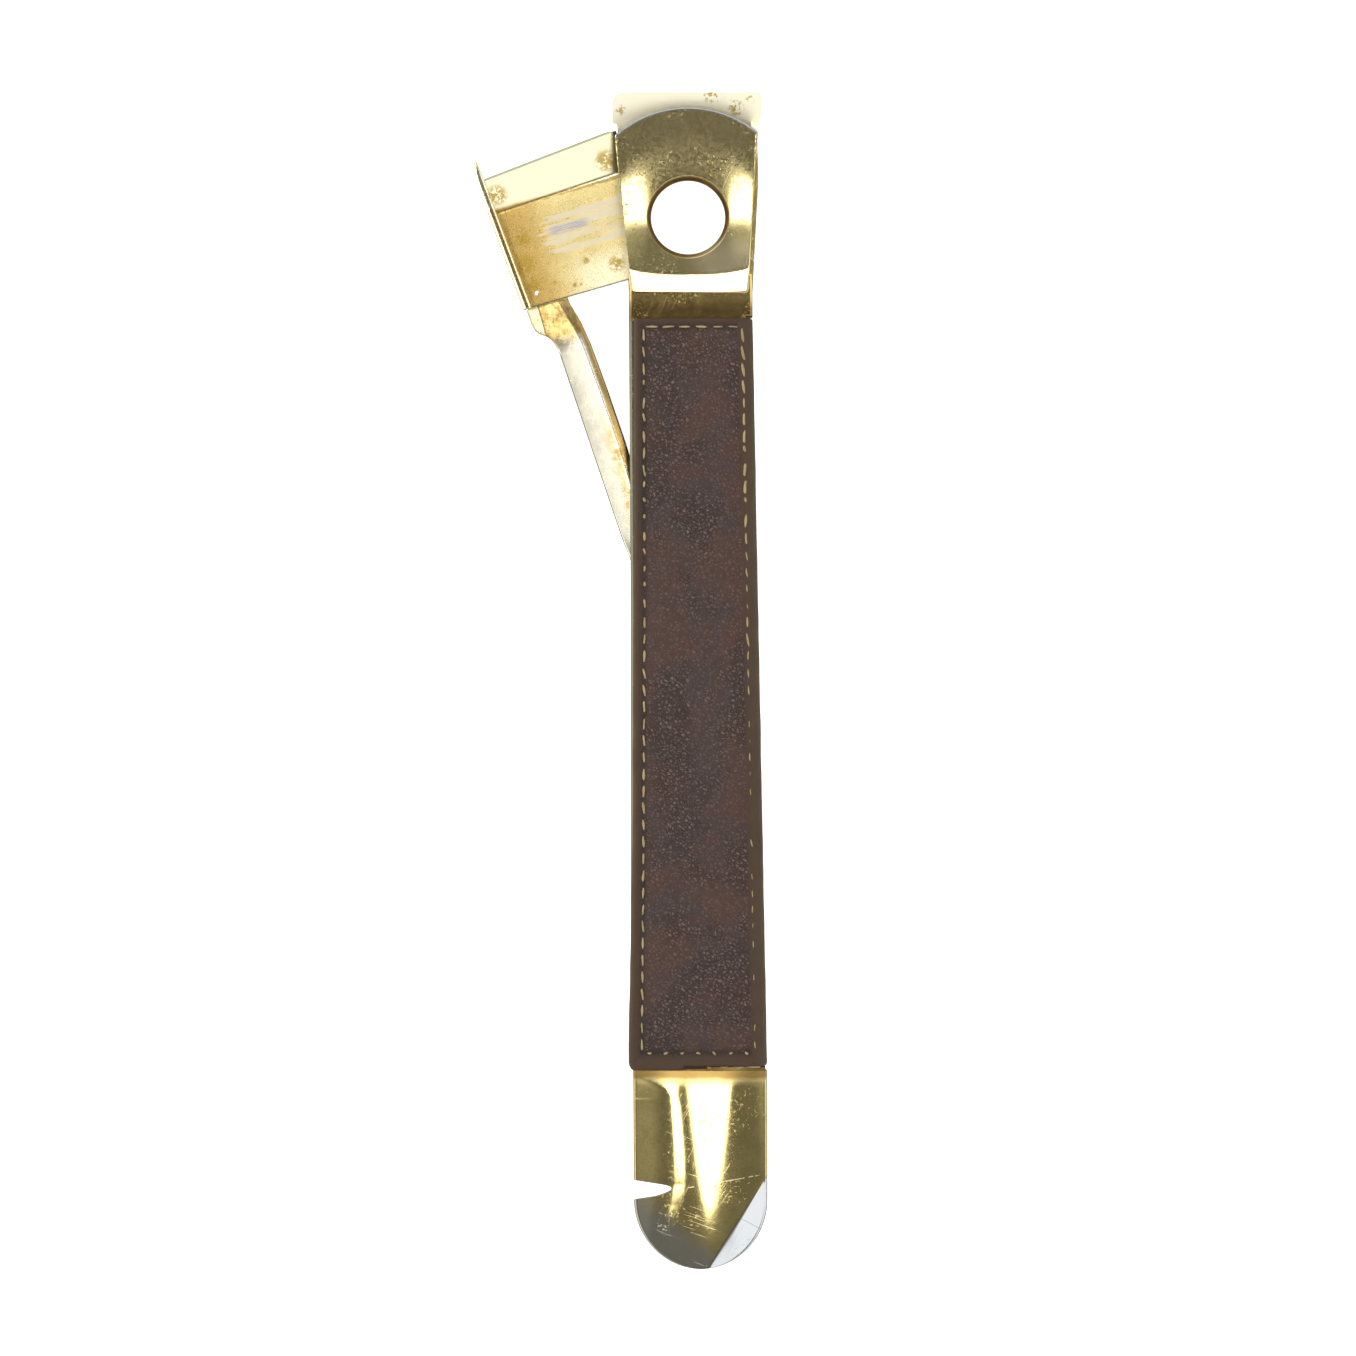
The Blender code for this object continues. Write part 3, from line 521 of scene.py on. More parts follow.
def head_wear_and_painted_light(n, look, p):
    """Brown film in the hole, fine mottling over the upper half; painted shade along the lower edge, a painted
    highlight on the lower right and a painted bluish highlight along the upper rim.
    """
    distance = n.distance(p.x, p.y, (HOLE_X, HOLE_Y))
    film = n.ramp(distance, RIM + 0.11, RIM + 0.03)
    look.tint(film, "brown film", 0.9)
    look.matt(film, 0.35)
    upper = n.ramp(n.wavering(p.y, p.where, 0.3, 6.0), 58.0, 66.0)
    fine = n.ramp(n.noise(p.where, 1.5, 4.0, 0.72), 0.44, 0.56)
    mottle = n.times(fine, n.number(upper, 0.25, 1.0))
    look.tint(mottle, "olive mottle")
    # Painted shade: a dark line along the plate's lower edge, over the neck.
    look.tint(n.ramp(p.y, PLATE_LOW.y + 0.22, PLATE_LOW.y + 0.12), "plate edge shade")
    # Painted highlight: the lower right of the plate is tinted lighter gold.
    lower_right = n.times(n.ramp(p.y, 52.0, 48.5), n.ramp(p.x, 2.0, 8.0))
    look.tint(lower_right, "plate highlight gold", 0.9)
    # Painted highlight: a bluish grey band along the rounded rim of the arc, for the sky it reflects.
    look.tint(n.ramp(distance, PLATE_RADIUS - 0.42, PLATE_RADIUS - 0.3), "rim highlight grey")
    look.roughen(mottle, 0.12)


def frame_wear_and_painted_light(n, look, p):
    """Painted highlight over the head; the neck toned dark brown for dirt and painted shade, with a painted shadow
    toward the leather; darker grey-green on the handle.
    """
    # Painted highlight: the head above the plate is tinted near white and made rougher.
    pale = n.ramp(p.y, 61.0, 66.0)
    look.tint(pale, "head highlight gold", 0.95)
    look.matt(pale, 0.68)
    look.tint(blots(n, p, HEAD_STAINS, 0.50, 0.58, 0.65), "stain", 0.85)
    # Dirt and painted shade: the recessed neck between the plate and the leather is toned dark brown.
    neck = n.times(n.band(p.y, 39.3, 43.4, 0.2), n.band(p.x, -4.0, 12.6, 0.1))
    look.tint(neck, "neck dirt and shade gold", 0.8)
    # Painted shadow: the neck darkens further toward the leather, with a ragged border.
    look.tint(n.ramp(n.wavering(p.y, p.where, 0.8, 1.6), 43.6, 41.2), "neck shadow brown", 0.9)
    # The handle frame below the neck is toned darker grey-green.
    look.tint(n.ramp(p.y, 39.3, 38.6), "handle grey-green", 0.9)


def cap_wear_and_painted_shade(n, look, p):
    """Thin bluish plating on the wedge's left, none on the chamfer, painted shade by the leather, one scratch."""
    towards_left = n.plus(n.times(p.y, -1.0), n.times(p.x, -0.8))
    worn = n.ramp(n.wavering(towards_left, p.where, 0.5, 1.0, 2.0), 84.0, 88.5)
    look.tint(worn, "thin plating", 0.75)
    past_x = n.times(n.minus(p.x, CHAMFER_FROM[0]), CHAMFER_FACING[0])
    past_y = n.times(n.minus(p.y, CHAMFER_FROM[1]), CHAMFER_FACING[1])
    past = n.plus(past_x, past_y)
    look.tint(n.ramp(past, -0.05, 0.12), "bare chamfer")
    look.tint(n.band(past, -0.12, 0.0, 0.05), "chamfer outline", 0.5)
    crack = n.band(n.above(p, -80.45, -0.55), -0.06, 0.06, 0.03)
    look.tint(n.times(crack, n.ramp(past, 0.1, 0.3)), "crack", 0.5)
    # Painted shadow: the cap is tinted brown just below the leather's edge, with a ragged border.
    film = n.ramp(n.wavering(p.y, p.where, 0.5, 0.5), CAP_START_Y - 1.2, CAP_START_Y - 0.5)
    look.tint(film, "leather shadow brown", 0.9)
    scratch = n.times(n.band(n.above(p, -83.05, 0.177), -0.05, 0.05, 0.03), n.band(p.x, 3.9, 14.2, 0.6))
    scratch = n.times(scratch, n.ramp(n.noise(p.where, 1.2, 2.0), 0.40, 0.52))
    look.tint(scratch, "bright scratch", 0.6)
    look.matt(scratch, 0.4)
    look.matt(n.ramp(p.y, CAP_START_Y - 2.6, CAP_START_Y - 0.8), 0.24)
    # Painted shade: the step sunk under the leather's edge is toned dark brown.
    look.tint(n.ramp(p.y, CAP_START_Y - 0.05, CAP_START_Y + 0.05), "step shade")


def arm_wear_and_painted_shade(n, look, p):
    """Painted shade beside the blade, mottled with tarnish, and along the bevel, the left edge and the shelf's
    fold; warm tarnish where the arm enters the handle.
    """
    cloud = n.ramp(n.noise(p.where, 0.9, 4.0, 0.65), 0.42, 0.60)
    near_blade = n.ramp(p.y, 37.5, 40.0)
    # Painted shade: the arm's root under the blade's lower edge is toned darker warm gold; the cloud adds mottled
    # tarnish there.
    look.tint(near_blade, "arm root shade gold", 0.9)
    look.tint(n.times(near_blade, n.times(cloud, 0.8)), "cloud")
    shelf = n.times(n.ramp(p.x, -5.05, -5.2), n.ramp(p.y, 39.9, 40.2))
    look.tint(shelf, "shelf gold", 0.9)
    # Painted shade: a dark line in the fold where the shelf meets the arm.
    fold = n.times(n.band(p.x, -5.2, -5.0, 0.05), n.ramp(p.y, 40.2, 40.6))
    look.tint(fold, "arm fold shade", 0.85)
    entry = n.ramp(n.wavering(p.y, p.where, 0.3, 8.0, 2.0), 34.0, 27.0)
    entry = n.times(entry, n.ramp(n.wavering(p.x, p.where, 0.5, 1.6, 2.0), -0.9, 0.5))
    look.tint(n.times(entry, n.plus(n.times(cloud, 0.4), 0.4)), "entry gold")
    look.roughen(n.most(near_blade, entry), 0.10)
    # Painted shade: a dark line along the arm's rounded left edge.
    left_edge = n.ramp(n.right_of(p, -2.42, 0.044), 0.28, 0.16)
    look.tint(n.times(left_edge, n.ramp(p.y, 37.5, 36.5)), "arm edge shade", 0.85)
    # Painted shade: the wide bevel along the right is toned darker orange gold.
    bevel = n.ramp(n.right_of(p, 1.65, 0.045), -0.25, 0.1)
    look.tint(n.times(bevel, n.ramp(p.y, 43.5, 42.0)), "bevel shade gold", 0.85)
    look.tint(n.times(around(n, p, ARM_STAINS), n.times(cloud, 0.8)), "arm stain")


def blade_wear_and_painted_light(n, look, p):
    """Gold rubbed to steel in streaks along the travel, orange near the flange, stained in places; painted
    highlight on the sloping part, painted shade in the fold and along the lower edge.
    """
    # Painted highlight: the sloping upper part is tinted pale gold for the bright surroundings it reflects, and
    # made smoother.
    slope = n.ramp(p.y, 58.6, 59.4)
    look.tint(slope, "slope highlight gold")
    look.matt(slope, 0.17)
    left = n.ramp(n.wavering(p.x, p.where, 0.5, 3.0), 3.4, -3.0)
    look.tint(n.times(left, n.minus(0.85, n.times(slope, 0.85))), "orange gold")
    look.tint(n.times(n.ramp(p.x, -1.5, 5.0), n.ramp(p.y, 50.5, 47.0)), "lower gold", 0.9)
    streak = n.noise(n.mapped(p.where, (0.06, 1.5, 1.0)), 1.0, 4.0, 0.62, 0.3)
    fine = n.noise(n.mapped(p.where, (0.3, 7.0, 1.0)), 1.0, 3.0, 0.6)
    ragged = n.noise(n.mapped(p.where, (0.2, 2.2, 1.0)), 1.0, 2.0)
    start = n.ramp(n.plus(p.x, n.times(ragged, -7.0)), -4.8, -4.3)
    track = n.times(n.band(p.y, 50.6, 56.4, 0.5), start)
    worn = n.times(track, n.ramp(streak, 0.44, 0.54))
    look.tint(worn, "rubbed steel", 0.85)
    mauve = n.times(n.band(p.y, 53.3, 54.5, 0.25), n.band(p.x, -0.6, 4.8, 0.7))
    mauve = n.times(n.times(mauve, start), n.ramp(fine, 0.38, 0.5))
    look.tint(mauve, "mauve steel")
    look.matt(n.most(worn, mauve), 0.33)
    look.normal = n.bump(fine, 0.08, FINE_RELIEF, look.normal)
    # Painted shade: a ragged darker line in the valley of the fold.
    fold = n.band(n.wavering(p.y, p.where, 0.9, 0.5, 2.0), 58.75, 59.2, 0.12)
    look.tint(fold, "fold shade", 0.8)
    # Painted shade: the cutting plate's lower edge is darkened.
    look.tint(n.times(n.ramp(p.y, 44.66, 44.56), n.ramp(p.z, 5.4, 5.2)), "blade edge shade", 0.85)
    flange = n.ramp(p.z, 8.5, 8.8)
    look.matt(flange, 0.11)
    look.tint(flange, "flange gold", 0.6)
    look.tint(blots(n, p, BLADE_STAINS, 0.40, 0.50, 0.7), "blade stain", 0.9)


def steel(name, tone, roughness):
    made, n, shader = new_material(name)
    where = n.place().where
    grain = n.noise(n.mapped(where, (1.0, 6.0, 6.0)), 2.0, 3.0, 0.6)
    look = Look(n, TONES[tone], roughness, n.bump(grain, 0.2, FINE_RELIEF))
    look.tint(n.ramp(n.noise(where, 0.8, 3.0, 0.6), 0.4, 0.7), darker(tone, 0.75))
    look.roughen(grain, 0.12)
    look.connect(shader, 1.0)
    return made


def leather_material():
    """Brown grained leather: wrinkled grain shows in patches with painted highlights on its crests and painted
    shade in its hollows; the border is smooth and darker, with painted shade in the seam's groove and a painted
    highlight on the rounded edges.
    """
    made, n, shader = new_material("brown_leather")
    where = n.place().where
    border = n.attribute("border")
    warped = n.bent(where, 1.1, 0.55)
    slanted = n.mapped(warped, (1.0, 1.35, 1.0), 0.6)
    pebble = n.ramp(n.cell_borders(slanted, 1.6), 0.0, 0.25)
    wrinkle = n.noise(slanted, 2.1, 4.0, 0.68, 1.6)
    grain = n.times(pebble, n.ramp(wrinkle, 0.30, 0.70))
    patch = n.ramp(n.noise(n.mapped(where, (1.0, 0.7, 1.0)), 0.15, 3.0, 0.6), 0.42, 0.58)
    patch = n.times(n.number(patch, 0.35, 1.0), n.number(border, 1.0, 0.12))
    height = n.times(n.plus(grain, n.times(wrinkle, 0.5)), patch)
    height = n.plus(height, n.times(n.noise(where, 6.0, 3.0, 0.6), 0.10))
    look = Look(n, TONES["leather red"], n.number(patch, 0.52, 0.40), n.bump(height, 0.8, LEATHER_RELIEF))
    look.tint(n.ramp(n.noise(where, 0.11, 3.0, 0.55), 0.38, 0.62), "leather grey")
    cloud = n.noise(n.mapped(where, shift=(9, 4, 2)), 0.30, 4.0, 0.6)
    look.tint(n.ramp(cloud, 0.50, 0.72), "leather patch", 0.5)
    # Painted highlight and shade: grain crests are tinted lighter and hollows darker, where the grain shows.
    look.tint(n.times(n.ramp(grain, 0.34, 0.72), patch), "grain highlight", 0.9)
    look.tint(n.times(n.ramp(grain, 0.22, 0.05), patch), "grain shade", 0.75)
    hair = n.noise(n.mapped(warped, (0.22, 7.0, 1.0), -0.8), 1.0, 1.0)
    look.tint(n.ramp(hair, 0.70, 0.74), "leather hairline", 0.35)
    look.tint(border, "leather border", 0.85)
    # Painted shade: the sunk seam groove is darkened.
    look.tint(n.attribute("groove"), "seam groove shade", 0.8)
    # Painted highlight: the rounded edges, where the leather turns away, are tinted lighter olive, unevenly.
    uneven = n.plus(0.45, n.times(n.ramp(n.noise(where, 0.25, 2.0), 0.3, 0.7), 0.35))
    look.tint(n.times(n.attribute("edge"), uneven), "leather edge highlight", 0.9)
    look.connect(shader, 0.0)
    n.put(shader.inputs["Specular IOR Level"], 0.30)
    return made


def thread_material():
    """Waxed thread, dirtier in places."""
    made, n, shader = new_material("waxed_thread")
    where = n.place().where
    fibre = n.noise(n.mapped(where, (6.0, 2.0, 6.0)), 2.0, 3.0, 0.6)
    look = Look(n, TONES["thread"], 0.7, n.bump(fibre, 0.4, THREAD_RELIEF))
    look.tint(n.ramp(n.noise(where, 0.25, 3.0, 0.6), 0.35, 0.68), "dirty thread")
    look.tint(fibre, "thread fibre", 0.5)
    look.connect(shader, 0.0)
    n.put(shader.inputs["Sheen Weight"], 0.2)
    return made


# ---- head plate

PLATE_RADIUS = PLATE_HIGH.y - HOLE_Y
PLATE_RIGHT = HOLE_X + 9.62
PLATE_LEFT = PLATE_LOW.x
PLATE_BACK = PLATE_LOW.z + 3.45
THROAT = 5.2
RIM = 5.75
PLATE_RAYS = 300
LEAST_TURN = 0.004

Ray = namedtuple("Ray", "x y")


def plate_outline():
    """Plan of the front plate: an arc about the hole, leaning sides, straight lower edge."""
    start = degrees(atan2(65.6 - HOLE_Y, PLATE_RIGHT - HOLE_X))
    end = degrees(atan2(65.1 - HOLE_Y, PLATE_LEFT + 0.1 - HOLE_X))
    top = arc((HOLE_X, HOLE_Y), PLATE_RADIUS, start - 0.5, end + 0.5, 40)
    right = [(12.35, PLATE_LOW.y), (PLATE_RIGHT, 64.4)]
    left = [(PLATE_LEFT, 64.2), (-3.93, PLATE_LOW.y)]
    sizes = [0.35, 0.8, 0.8, *([0.0] * (len(top) - 2)), 0.9, 0.9, 0.35]
    return rounded([*right, *top, *left], sizes)


def ray_reach(outline, centre, ray):
    """Distance from the centre to the outline along a ray."""
    parallel = 1e-12
    slack = 1e-6
    best = 0.0
    for a, b in zip(outline, outline[1:] + outline[:1]):
        first = Vector(a) - centre
        side = Vector(b) - Vector(a)
        cross = ray.x * side.y - ray.y * side.x
        if abs(cross) < parallel:
            continue
        distance = (first.x * side.y - first.y * side.x) / cross
        share = (first.x * ray.y - first.y * ray.x) / cross
        if distance > 0.0 and -slack <= share <= 1.0 + slack:
            best = max(best, distance)
    return best


def plate_height(x, y):
    """Front surface: leaning plane, shallow dish round the hole, steeper strip along the lower edge."""
    distance = hypot(x - HOLE_X, y - HOLE_Y)
    above = max((y - HOLE_Y) / max(distance, 0.1), 0.0)
    beneath = max((HOLE_Y - y) / max(distance, 0.1), 0.0)
    dish_share = min(max((distance - 4.0) / 8.4, 0.0), 1.0)
    dish = (0.28 - 0.10 * above**2 - 0.20 * beneath**3) * (1.0 + cos(pi * dish_share))
    below_fold = PLATE_LOW.y + 2.6 + 0.013 * (x - HOLE_X) ** 2 - y
    strip = 0.18 * (below_fold + sqrt(below_fold * below_fold + 0.02)) / 2.0
    lean = 0.02 * (y - PLATE_LOW.y)
    wave = 0.010 * noise.noise(Vector((x * 0.16, y * 0.16, 3.0)))
    return PLATE_HIGH.z - 0.02 - dish - strip - lean + wave


def on_level(ray, distance, z):
    """A point on a ray from the hole's centre."""
    return (HOLE_X + ray.x * distance, HOLE_Y + ray.y * distance, z)


def on_plate(ray, distance, drop=0.0):
    """A point of the front surface on a ray, lowered by drop."""
    x = HOLE_X + ray.x * distance
    y = HOLE_Y + ray.y * distance
    return (x, y, plate_height(x, y) - drop)


def plate_ring(ray, reach):
    """One section: up the throat, over the rim, across the front, round the edge and back underneath."""
    rim_z = on_plate(ray, RIM)[2]
    throat = (PLATE_LOW.z, mix(PLATE_LOW.z, PLATE_BACK, 0.8), rim_z - 0.95)
    ring = [on_level(ray, THROAT, z) for z in throat]
    for k in range(5):
        t = k / 4.0
        ring.append(on_level(ray, THROAT + 0.08 + (RIM - THROAT - 0.2) * t, rim_z - 0.85 + 0.72 * t))
    for k in range(4):
        turn = radians(30.0 * k)
        ring.append(on_plate(ray, RIM - 0.12 + 0.14 * sin(turn), 0.12 * (1.0 - sin(turn))))
    edge = mix(0.16 if ray.x > 0.0 else 0.07, 0.32, smoothstep(0.6, 0.85, ray.y))
    front_end = reach - edge
    for k in range(1, 31):
        ring.append(on_plate(ray, mix(RIM + 0.06, front_end, k / 30.0)))
    for k in range(1, 8):
        turn = radians(90.0 * k / 7.0)
        ring.append(on_plate(ray, front_end + edge * sin(turn), edge * (1.0 - cos(turn))))
    underside = (
        (reach, PLATE_BACK + 0.2),
        (reach - 0.2, PLATE_BACK),
        (mix(reach, 5.7, 0.5), PLATE_BACK),
        (6.1, PLATE_BACK),
        (5.75, PLATE_BACK - 0.35),
        (5.7, PLATE_LOW.z + 0.1),
        (5.6, PLATE_LOW.z),
    )
    return ring + [on_level(ray, distance, z) for distance, z in underside]


def head_plate():
    """Sections are taken on rays from the hole's centre, so the plate is one ring of quads."""
    outline = plate_outline()
    centre = Vector((HOLE_X, HOLE_Y))
    even = [2.0 * pi * i / PLATE_RAYS for i in range(PLATE_RAYS)]
    corners = [atan2(y - HOLE_Y, x - HOLE_X) % (2.0 * pi) for x, y in outline]
    rows = []
    previous = -1.0
    for angle in sorted(even + corners):
        if angle - previous < LEAST_TURN:
            continue
        previous = angle
        ray = Ray(cos(angle), sin(angle))
        rows.append(plate_ring(ray, ray_reach(outline, centre, ray)))
    return lofted("head_front_plate", rows, looped=True, sharp=38.0)


# ---- end cap

CAP_START_Y = SLEEVE_LOW.y - 0.05
CAP_ROUND_Y = CAP_LOW.y + 9.8
CAP_LENGTH = CAP_START_Y - CAP_LOW.y
CAP_HALF = 9.38
CAP_COLUMNS = 120
CORNER_STEPS = 5
CROWN_X = 6.9
LEAST_HALF = 0.22
# Where the soft ridge left of the crown lies: y and x.
RIDGE = [
    (-94.0, 1.9), (-86.6, 2.0), (-84.8, 2.4), (-82.0, 2.75), (-77.4, 2.66), (-74.0, 2.5), (-71.0, 2.3),
    (-69.6, 2.0), (-68.6, 1.4), (-67.8, 0.4), (-67.1, -0.9), (-66.5, -2.4), (-65.0, -5.0),
]
NOTCH = [
    (-6.0, -81.0), (-3.25, -81.4), (0.6, -81.95), (1.35, -82.15), (1.75, -82.57), (1.4, -82.95),
    (0.4, -83.35), (-0.63, -83.66), (-3.18, -84.0), (-6.0, -84.6),
]
CHAMFER_FROM = (14.72, -81.2)
CHAMFER_FACING = (0.845, -0.535)


def cap_share(y):
    """0 where the cap leaves the leather, 1 at its round end."""
    return (CAP_START_Y - y) / CAP_LENGTH


def cap_sides(y):
    """Left and right limits of the cap at a height."""
    middle = mix(5.6, 5.75, cap_share(y))
    half = CAP_HALF
    if y < CAP_ROUND_Y:
        turn = min((CAP_ROUND_Y - y) / (CAP_ROUND_Y - CAP_LOW.y), 0.9995)
        half *= sqrt(1.0 - turn * turn)
    return middle - half, middle + half


def cap_slope(x, y, flatten):
    """Sideways slope of the front: a crown, a soft ridge to its left and a plain face beyond it."""
    lean = 0.026 * (x - CROWN_X)
    if x >= CROWN_X:
        return flatten * (lean + 0.0045 * max(x - CROWN_X - 2.6, 0.0) ** 2)
    bend = 0.042 + 0.05 * smoothstep(-70.5, -67.5, y)
    ridge = bend * (x - along(RIDGE, y)) - 0.14
    return (0.6 + 0.4 * flatten) * max(min(lean, ridge), -0.30)


def cap_row(y, xs):
    """Half thickness at each x of a row: a crown that thins to a wedge, chamfered at the lower right."""
    share = min(max(cap_share(y), 0.0), 1.0)
    crown = 4.35 - CAP_LENGTH * (0.045 * share + 0.08 * share**1.75)
    flatten = 1.0 - 0.62 * share**1.5
    fine = np.linspace(-4.2, 15.6, 199)
    slopes = np.array([cap_slope(x, y, flatten) for x in fine])
    drop = np.concatenate(([0.0], np.cumsum((slopes[1:] + slopes[:-1]) / 2.0 * np.diff(fine))))
    drop -= np.interp(CROWN_X, fine, drop)
    heights = []
    for x in xs:
        past = (x - CHAMFER_FROM[0]) * CHAMFER_FACING[0] + (y - CHAMFER_FROM[1]) * CHAMFER_FACING[1]
        chamfer = 0.30 * (past + sqrt(past * past + 0.01)) / 2.0
        heights.append(max(crown - float(np.interp(x, fine, drop)) - chamfer, LEAST_HALF))
    return heights


def cap_corner(x, y, z, outward, upward, width, height):
    """Quarter round from a face down to the side; outward and upward are 1 or -1."""
    points = []
    for k in range(1, CORNER_STEPS + 1):
        turn = radians(90.0 * k / CORNER_STEPS)
        drop = height * (1.0 - cos(turn))
        points.append((x + outward * width * sin(turn), y, z - upward * drop))
    return points


def cap_ring(y):
    """One section of the cap; above its visible end it steps in twice, to go under the leather."""
    inset = 0.0
    if y > CAP_START_Y:
        inset = 0.7 if y > CAP_START_Y + 0.55 else 0.22
    left, right = cap_sides(y)
    left += inset
    right -= inset
    width = min(0.42, 0.3 * (right - left))
    middle = mix(4.85, 4.7, cap_share(y))
    xs = [mix(left + width, right - width, i / CAP_COLUMNS) for i in range(CAP_COLUMNS + 1)]
    heights = [height - inset for height in cap_row(y, xs)]
    first = heights[0]
    last = heights[-1]
    right_round = min(width, 0.9 * last)
    left_round = min(width, 0.9 * first)
    ring = [(x, y, middle + height) for x, height in zip(xs, heights)]
    ring += cap_corner(xs[-1], y, middle + last, 1, 1, width, right_round)
    ring += cap_corner(xs[-1], y, middle - last, 1, -1, width, right_round)[::-1]
    ring += [(x, y, middle - height) for x, height in zip(reversed(xs), reversed(heights))]
    ring += cap_corner(xs[0], y, middle - first, -1, -1, width, left_round)
    ring += cap_corner(xs[0], y, middle + first, -1, 1, width, left_round)[::-1]
    return ring


def end_cap():
    stations = [CAP_START_Y + up for up in (0.95, 0.6, 0.5, 0.02)]
    stations += [mix(CAP_START_Y, CAP_ROUND_Y, i / 90.0) for i in range(91)]
    stations += [mix(CAP_ROUND_Y, CAP_LOW.y, sin(radians(1.5 * i))) for i in range(1, 60)]
    stations += [CAP_LOW.y + 0.004]
    rows = [cap_ring(y) for y in sorted(set(stations), reverse=True)]
    cap = lofted("gilt_end_cap", rows, sharp=50.0)
    return combine(cap, cutter("notch", rounded(NOTCH, 0.3, 4)), "DIFFERENCE", 50.0)


# ---- lever

ARM_LOW = 2.5
ARM_HIGH = 5.6
ARM_STEP_Y = 44.19
SEAT_HIGH = 3.85
# The arm's sides: y and x.
ARM_LEFT = [
    (-2.9, -0.3), (-2.6, -1.4), (-1.8, -2.3), (0.0, -2.9), (0.8, -2.55), (3.2, -2.0), (5.6, -2.35),
    (9.5, -2.75), (22.0, -3.35), (36.0, -4.0), (37.8, -4.12), (39.2, -4.55), (39.9, -5.0), (40.3, -5.6),
    (40.7, -6.15), (41.3, -6.5), (42.2, -6.68), (44.3, -6.85), (44.5, -6.0), (46.5, -4.3), (50.4, -4.3),
    (51.4, -3.9), (52.0, -3.0),
]
ARM_RIGHT = [
    (-2.9, 0.3), (-2.3, 1.8), (-1.2, 2.65), (0.0, 2.9), (2.0, 2.75), (4.0, 2.2), (9.0, 1.6), (22.0, 1.5),
    (30.3, 1.1), (37.2, 0.6), (40.6, 0.1), (43.6, -0.7), (46.0, -0.9), (50.4, -0.9), (51.5, -1.4),
    (52.0, -2.4),
]
PIVOT_BORE = 1.56


def section(left, right, low, high, radius, y, steps=5):
    """Rounded rectangle in the XZ plane."""
    radius = min(radius, 0.48 * (right - left), 0.48 * (high - low))
    corners = (
        (right - radius, high - radius, 0.0),
        (left + radius, high - radius, 90.0),
        (left + radius, low + radius, 180.0),
        (right - radius, low + radius, 270.0),
    )
    ring = []
    for x, z, start in corners:
        ring += [(a, y, b) for a, b in arc((x, z), radius, start, start + 90.0, steps)]
    return ring


def arm_section(y):
    """Flat underside; the top leans a little to the left and is bevelled wide along its right."""
    left = along(ARM_LEFT, y)
    right = along(ARM_RIGHT, y)
    top = ARM_HIGH - 0.02 * max(y, 0.0) - 0.3 * smoothstep(38.0, 44.0, y)
    bevel = min(1.15, 0.30 * (right - left))
    bevel_drop = mix(0.14, 0.34, smoothstep(24.0, 33.0, y))
    lean = 0.20 * (right - left - bevel) * smoothstep(0.5, 6.0, y) * (1.0 - 0.6 * smoothstep(38.0, 42.0, y))
    points = [
        (left, ARM_LOW),
        (right, ARM_LOW),
        (right, top - bevel_drop),
        (right - bevel, top),
        (left, top - lean),
    ]
    return [(a, y, b) for a, b in rounded(points, [0.2, 0.2, 0.22, 0.30, 0.30], 5)]


def seat_section(y):
    """The thin end of the arm that lies under the blade."""
    return section(along(ARM_LEFT, y), along(ARM_RIGHT, y), ARM_LOW, SEAT_HIGH, 0.2, y, 6)


def lever_arm():
    stations = [mix(-2.9, 3.2, i / 16.0) for i in range(16)]
    stations += [mix(3.2, 37.0, i / 30.0) for i in range(30)]
    stations += [mix(37.0, ARM_STEP_Y, i / 26.0) for i in range(27)]
    arm = lofted("gilt_lever_arm", [arm_section(y) for y in stations], sharp=35.0)
    seat_stations = (44.1, 44.21, 45.0, 46.5, 48.5, 50.0, 50.8, 51.4, 51.8, 52.0)
    combine(arm, lofted("seat", [seat_section(y) for y in seat_stations]), "UNION", 35.0)
    return combine(arm, cutter("bore", circle((0.0, 0.0), PIVOT_BORE, 40)), "DIFFERENCE", 35.0)


BLADE_LOW = 4.0
BLADE_HIGH = 4.9
BLADE_BOTTOM = 44.45
SLOPE = tan(radians(25.6))
FOLD_HALF = 0.3
FOLD_STEPS = 7
FLANGE_HIGH = 9.3
RELIEF_Y = 46.2


def crease_y(x):
    """Height of the fold between the cutting plate and the sloping upper part."""
    return mix(58.5, 59.3, (x + 6.0) / 17.0)


def blade_profile(x):
    """Upper surface of the folded sheet in YZ, as (y, rise): flat, rounded valley, then the slope."""
    crease = crease_y(x)
    top_y = mix(63.2, 64.9, (x + 7.2) / 19.4)
    points = [(mix(BLADE_BOTTOM, crease - FOLD_HALF, i / 8.0), 0.0) for i in range(9)]
    for i in range(1, FOLD_STEPS + 1):
        t = i / FOLD_STEPS
        points.append((crease - FOLD_HALF + 2.0 * FOLD_HALF * t, SLOPE * FOLD_HALF * t * t))
    for i in range(1, 6):
        y = mix(crease + FOLD_HALF, top_y, i / 5.0)
        points.append((y, SLOPE * (y - crease)))
    return points


def blade_side(x, y):
    """A column's place: the right end is ground hollow, and the left end stops inside the flange."""
    share = min(max((y - BLADE_BOTTOM) / 16.0, 0.0), 1.0)
    limit = mix(11.6, 12.2, share) - 0.4 * sin(pi * share)
    if x < -6.0:
        return max(x, along(((44.0, -6.65), (66.0, -8.3)), y))
    return min(x, mix(x, limit, smoothstep(9.0, 12.2, x)))


def blade_row(x):
    """One strip of the sheet: its upper side, then its lower side back, thin at the cutting edge."""
    line = blade_profile(x)
    depth = (BLADE_HIGH - BLADE_LOW) * mix(1.0, 0.12, smoothstep(10.6, 12.2, x))
    upper = []
    lower = []
    for k, (y, rise) in enumerate(line):
        before = line[max(k - 1, 0)]
        after = line[min(k + 1, len(line) - 1)]
        slope = atan2(after[1] - before[1], after[0] - before[0])
        side = blade_side(x, y)
        upper.append((side, y, BLADE_HIGH + rise))
        lower.append((side, y + depth * sin(slope), BLADE_HIGH + rise - depth * cos(slope)))
    return upper + lower[::-1]


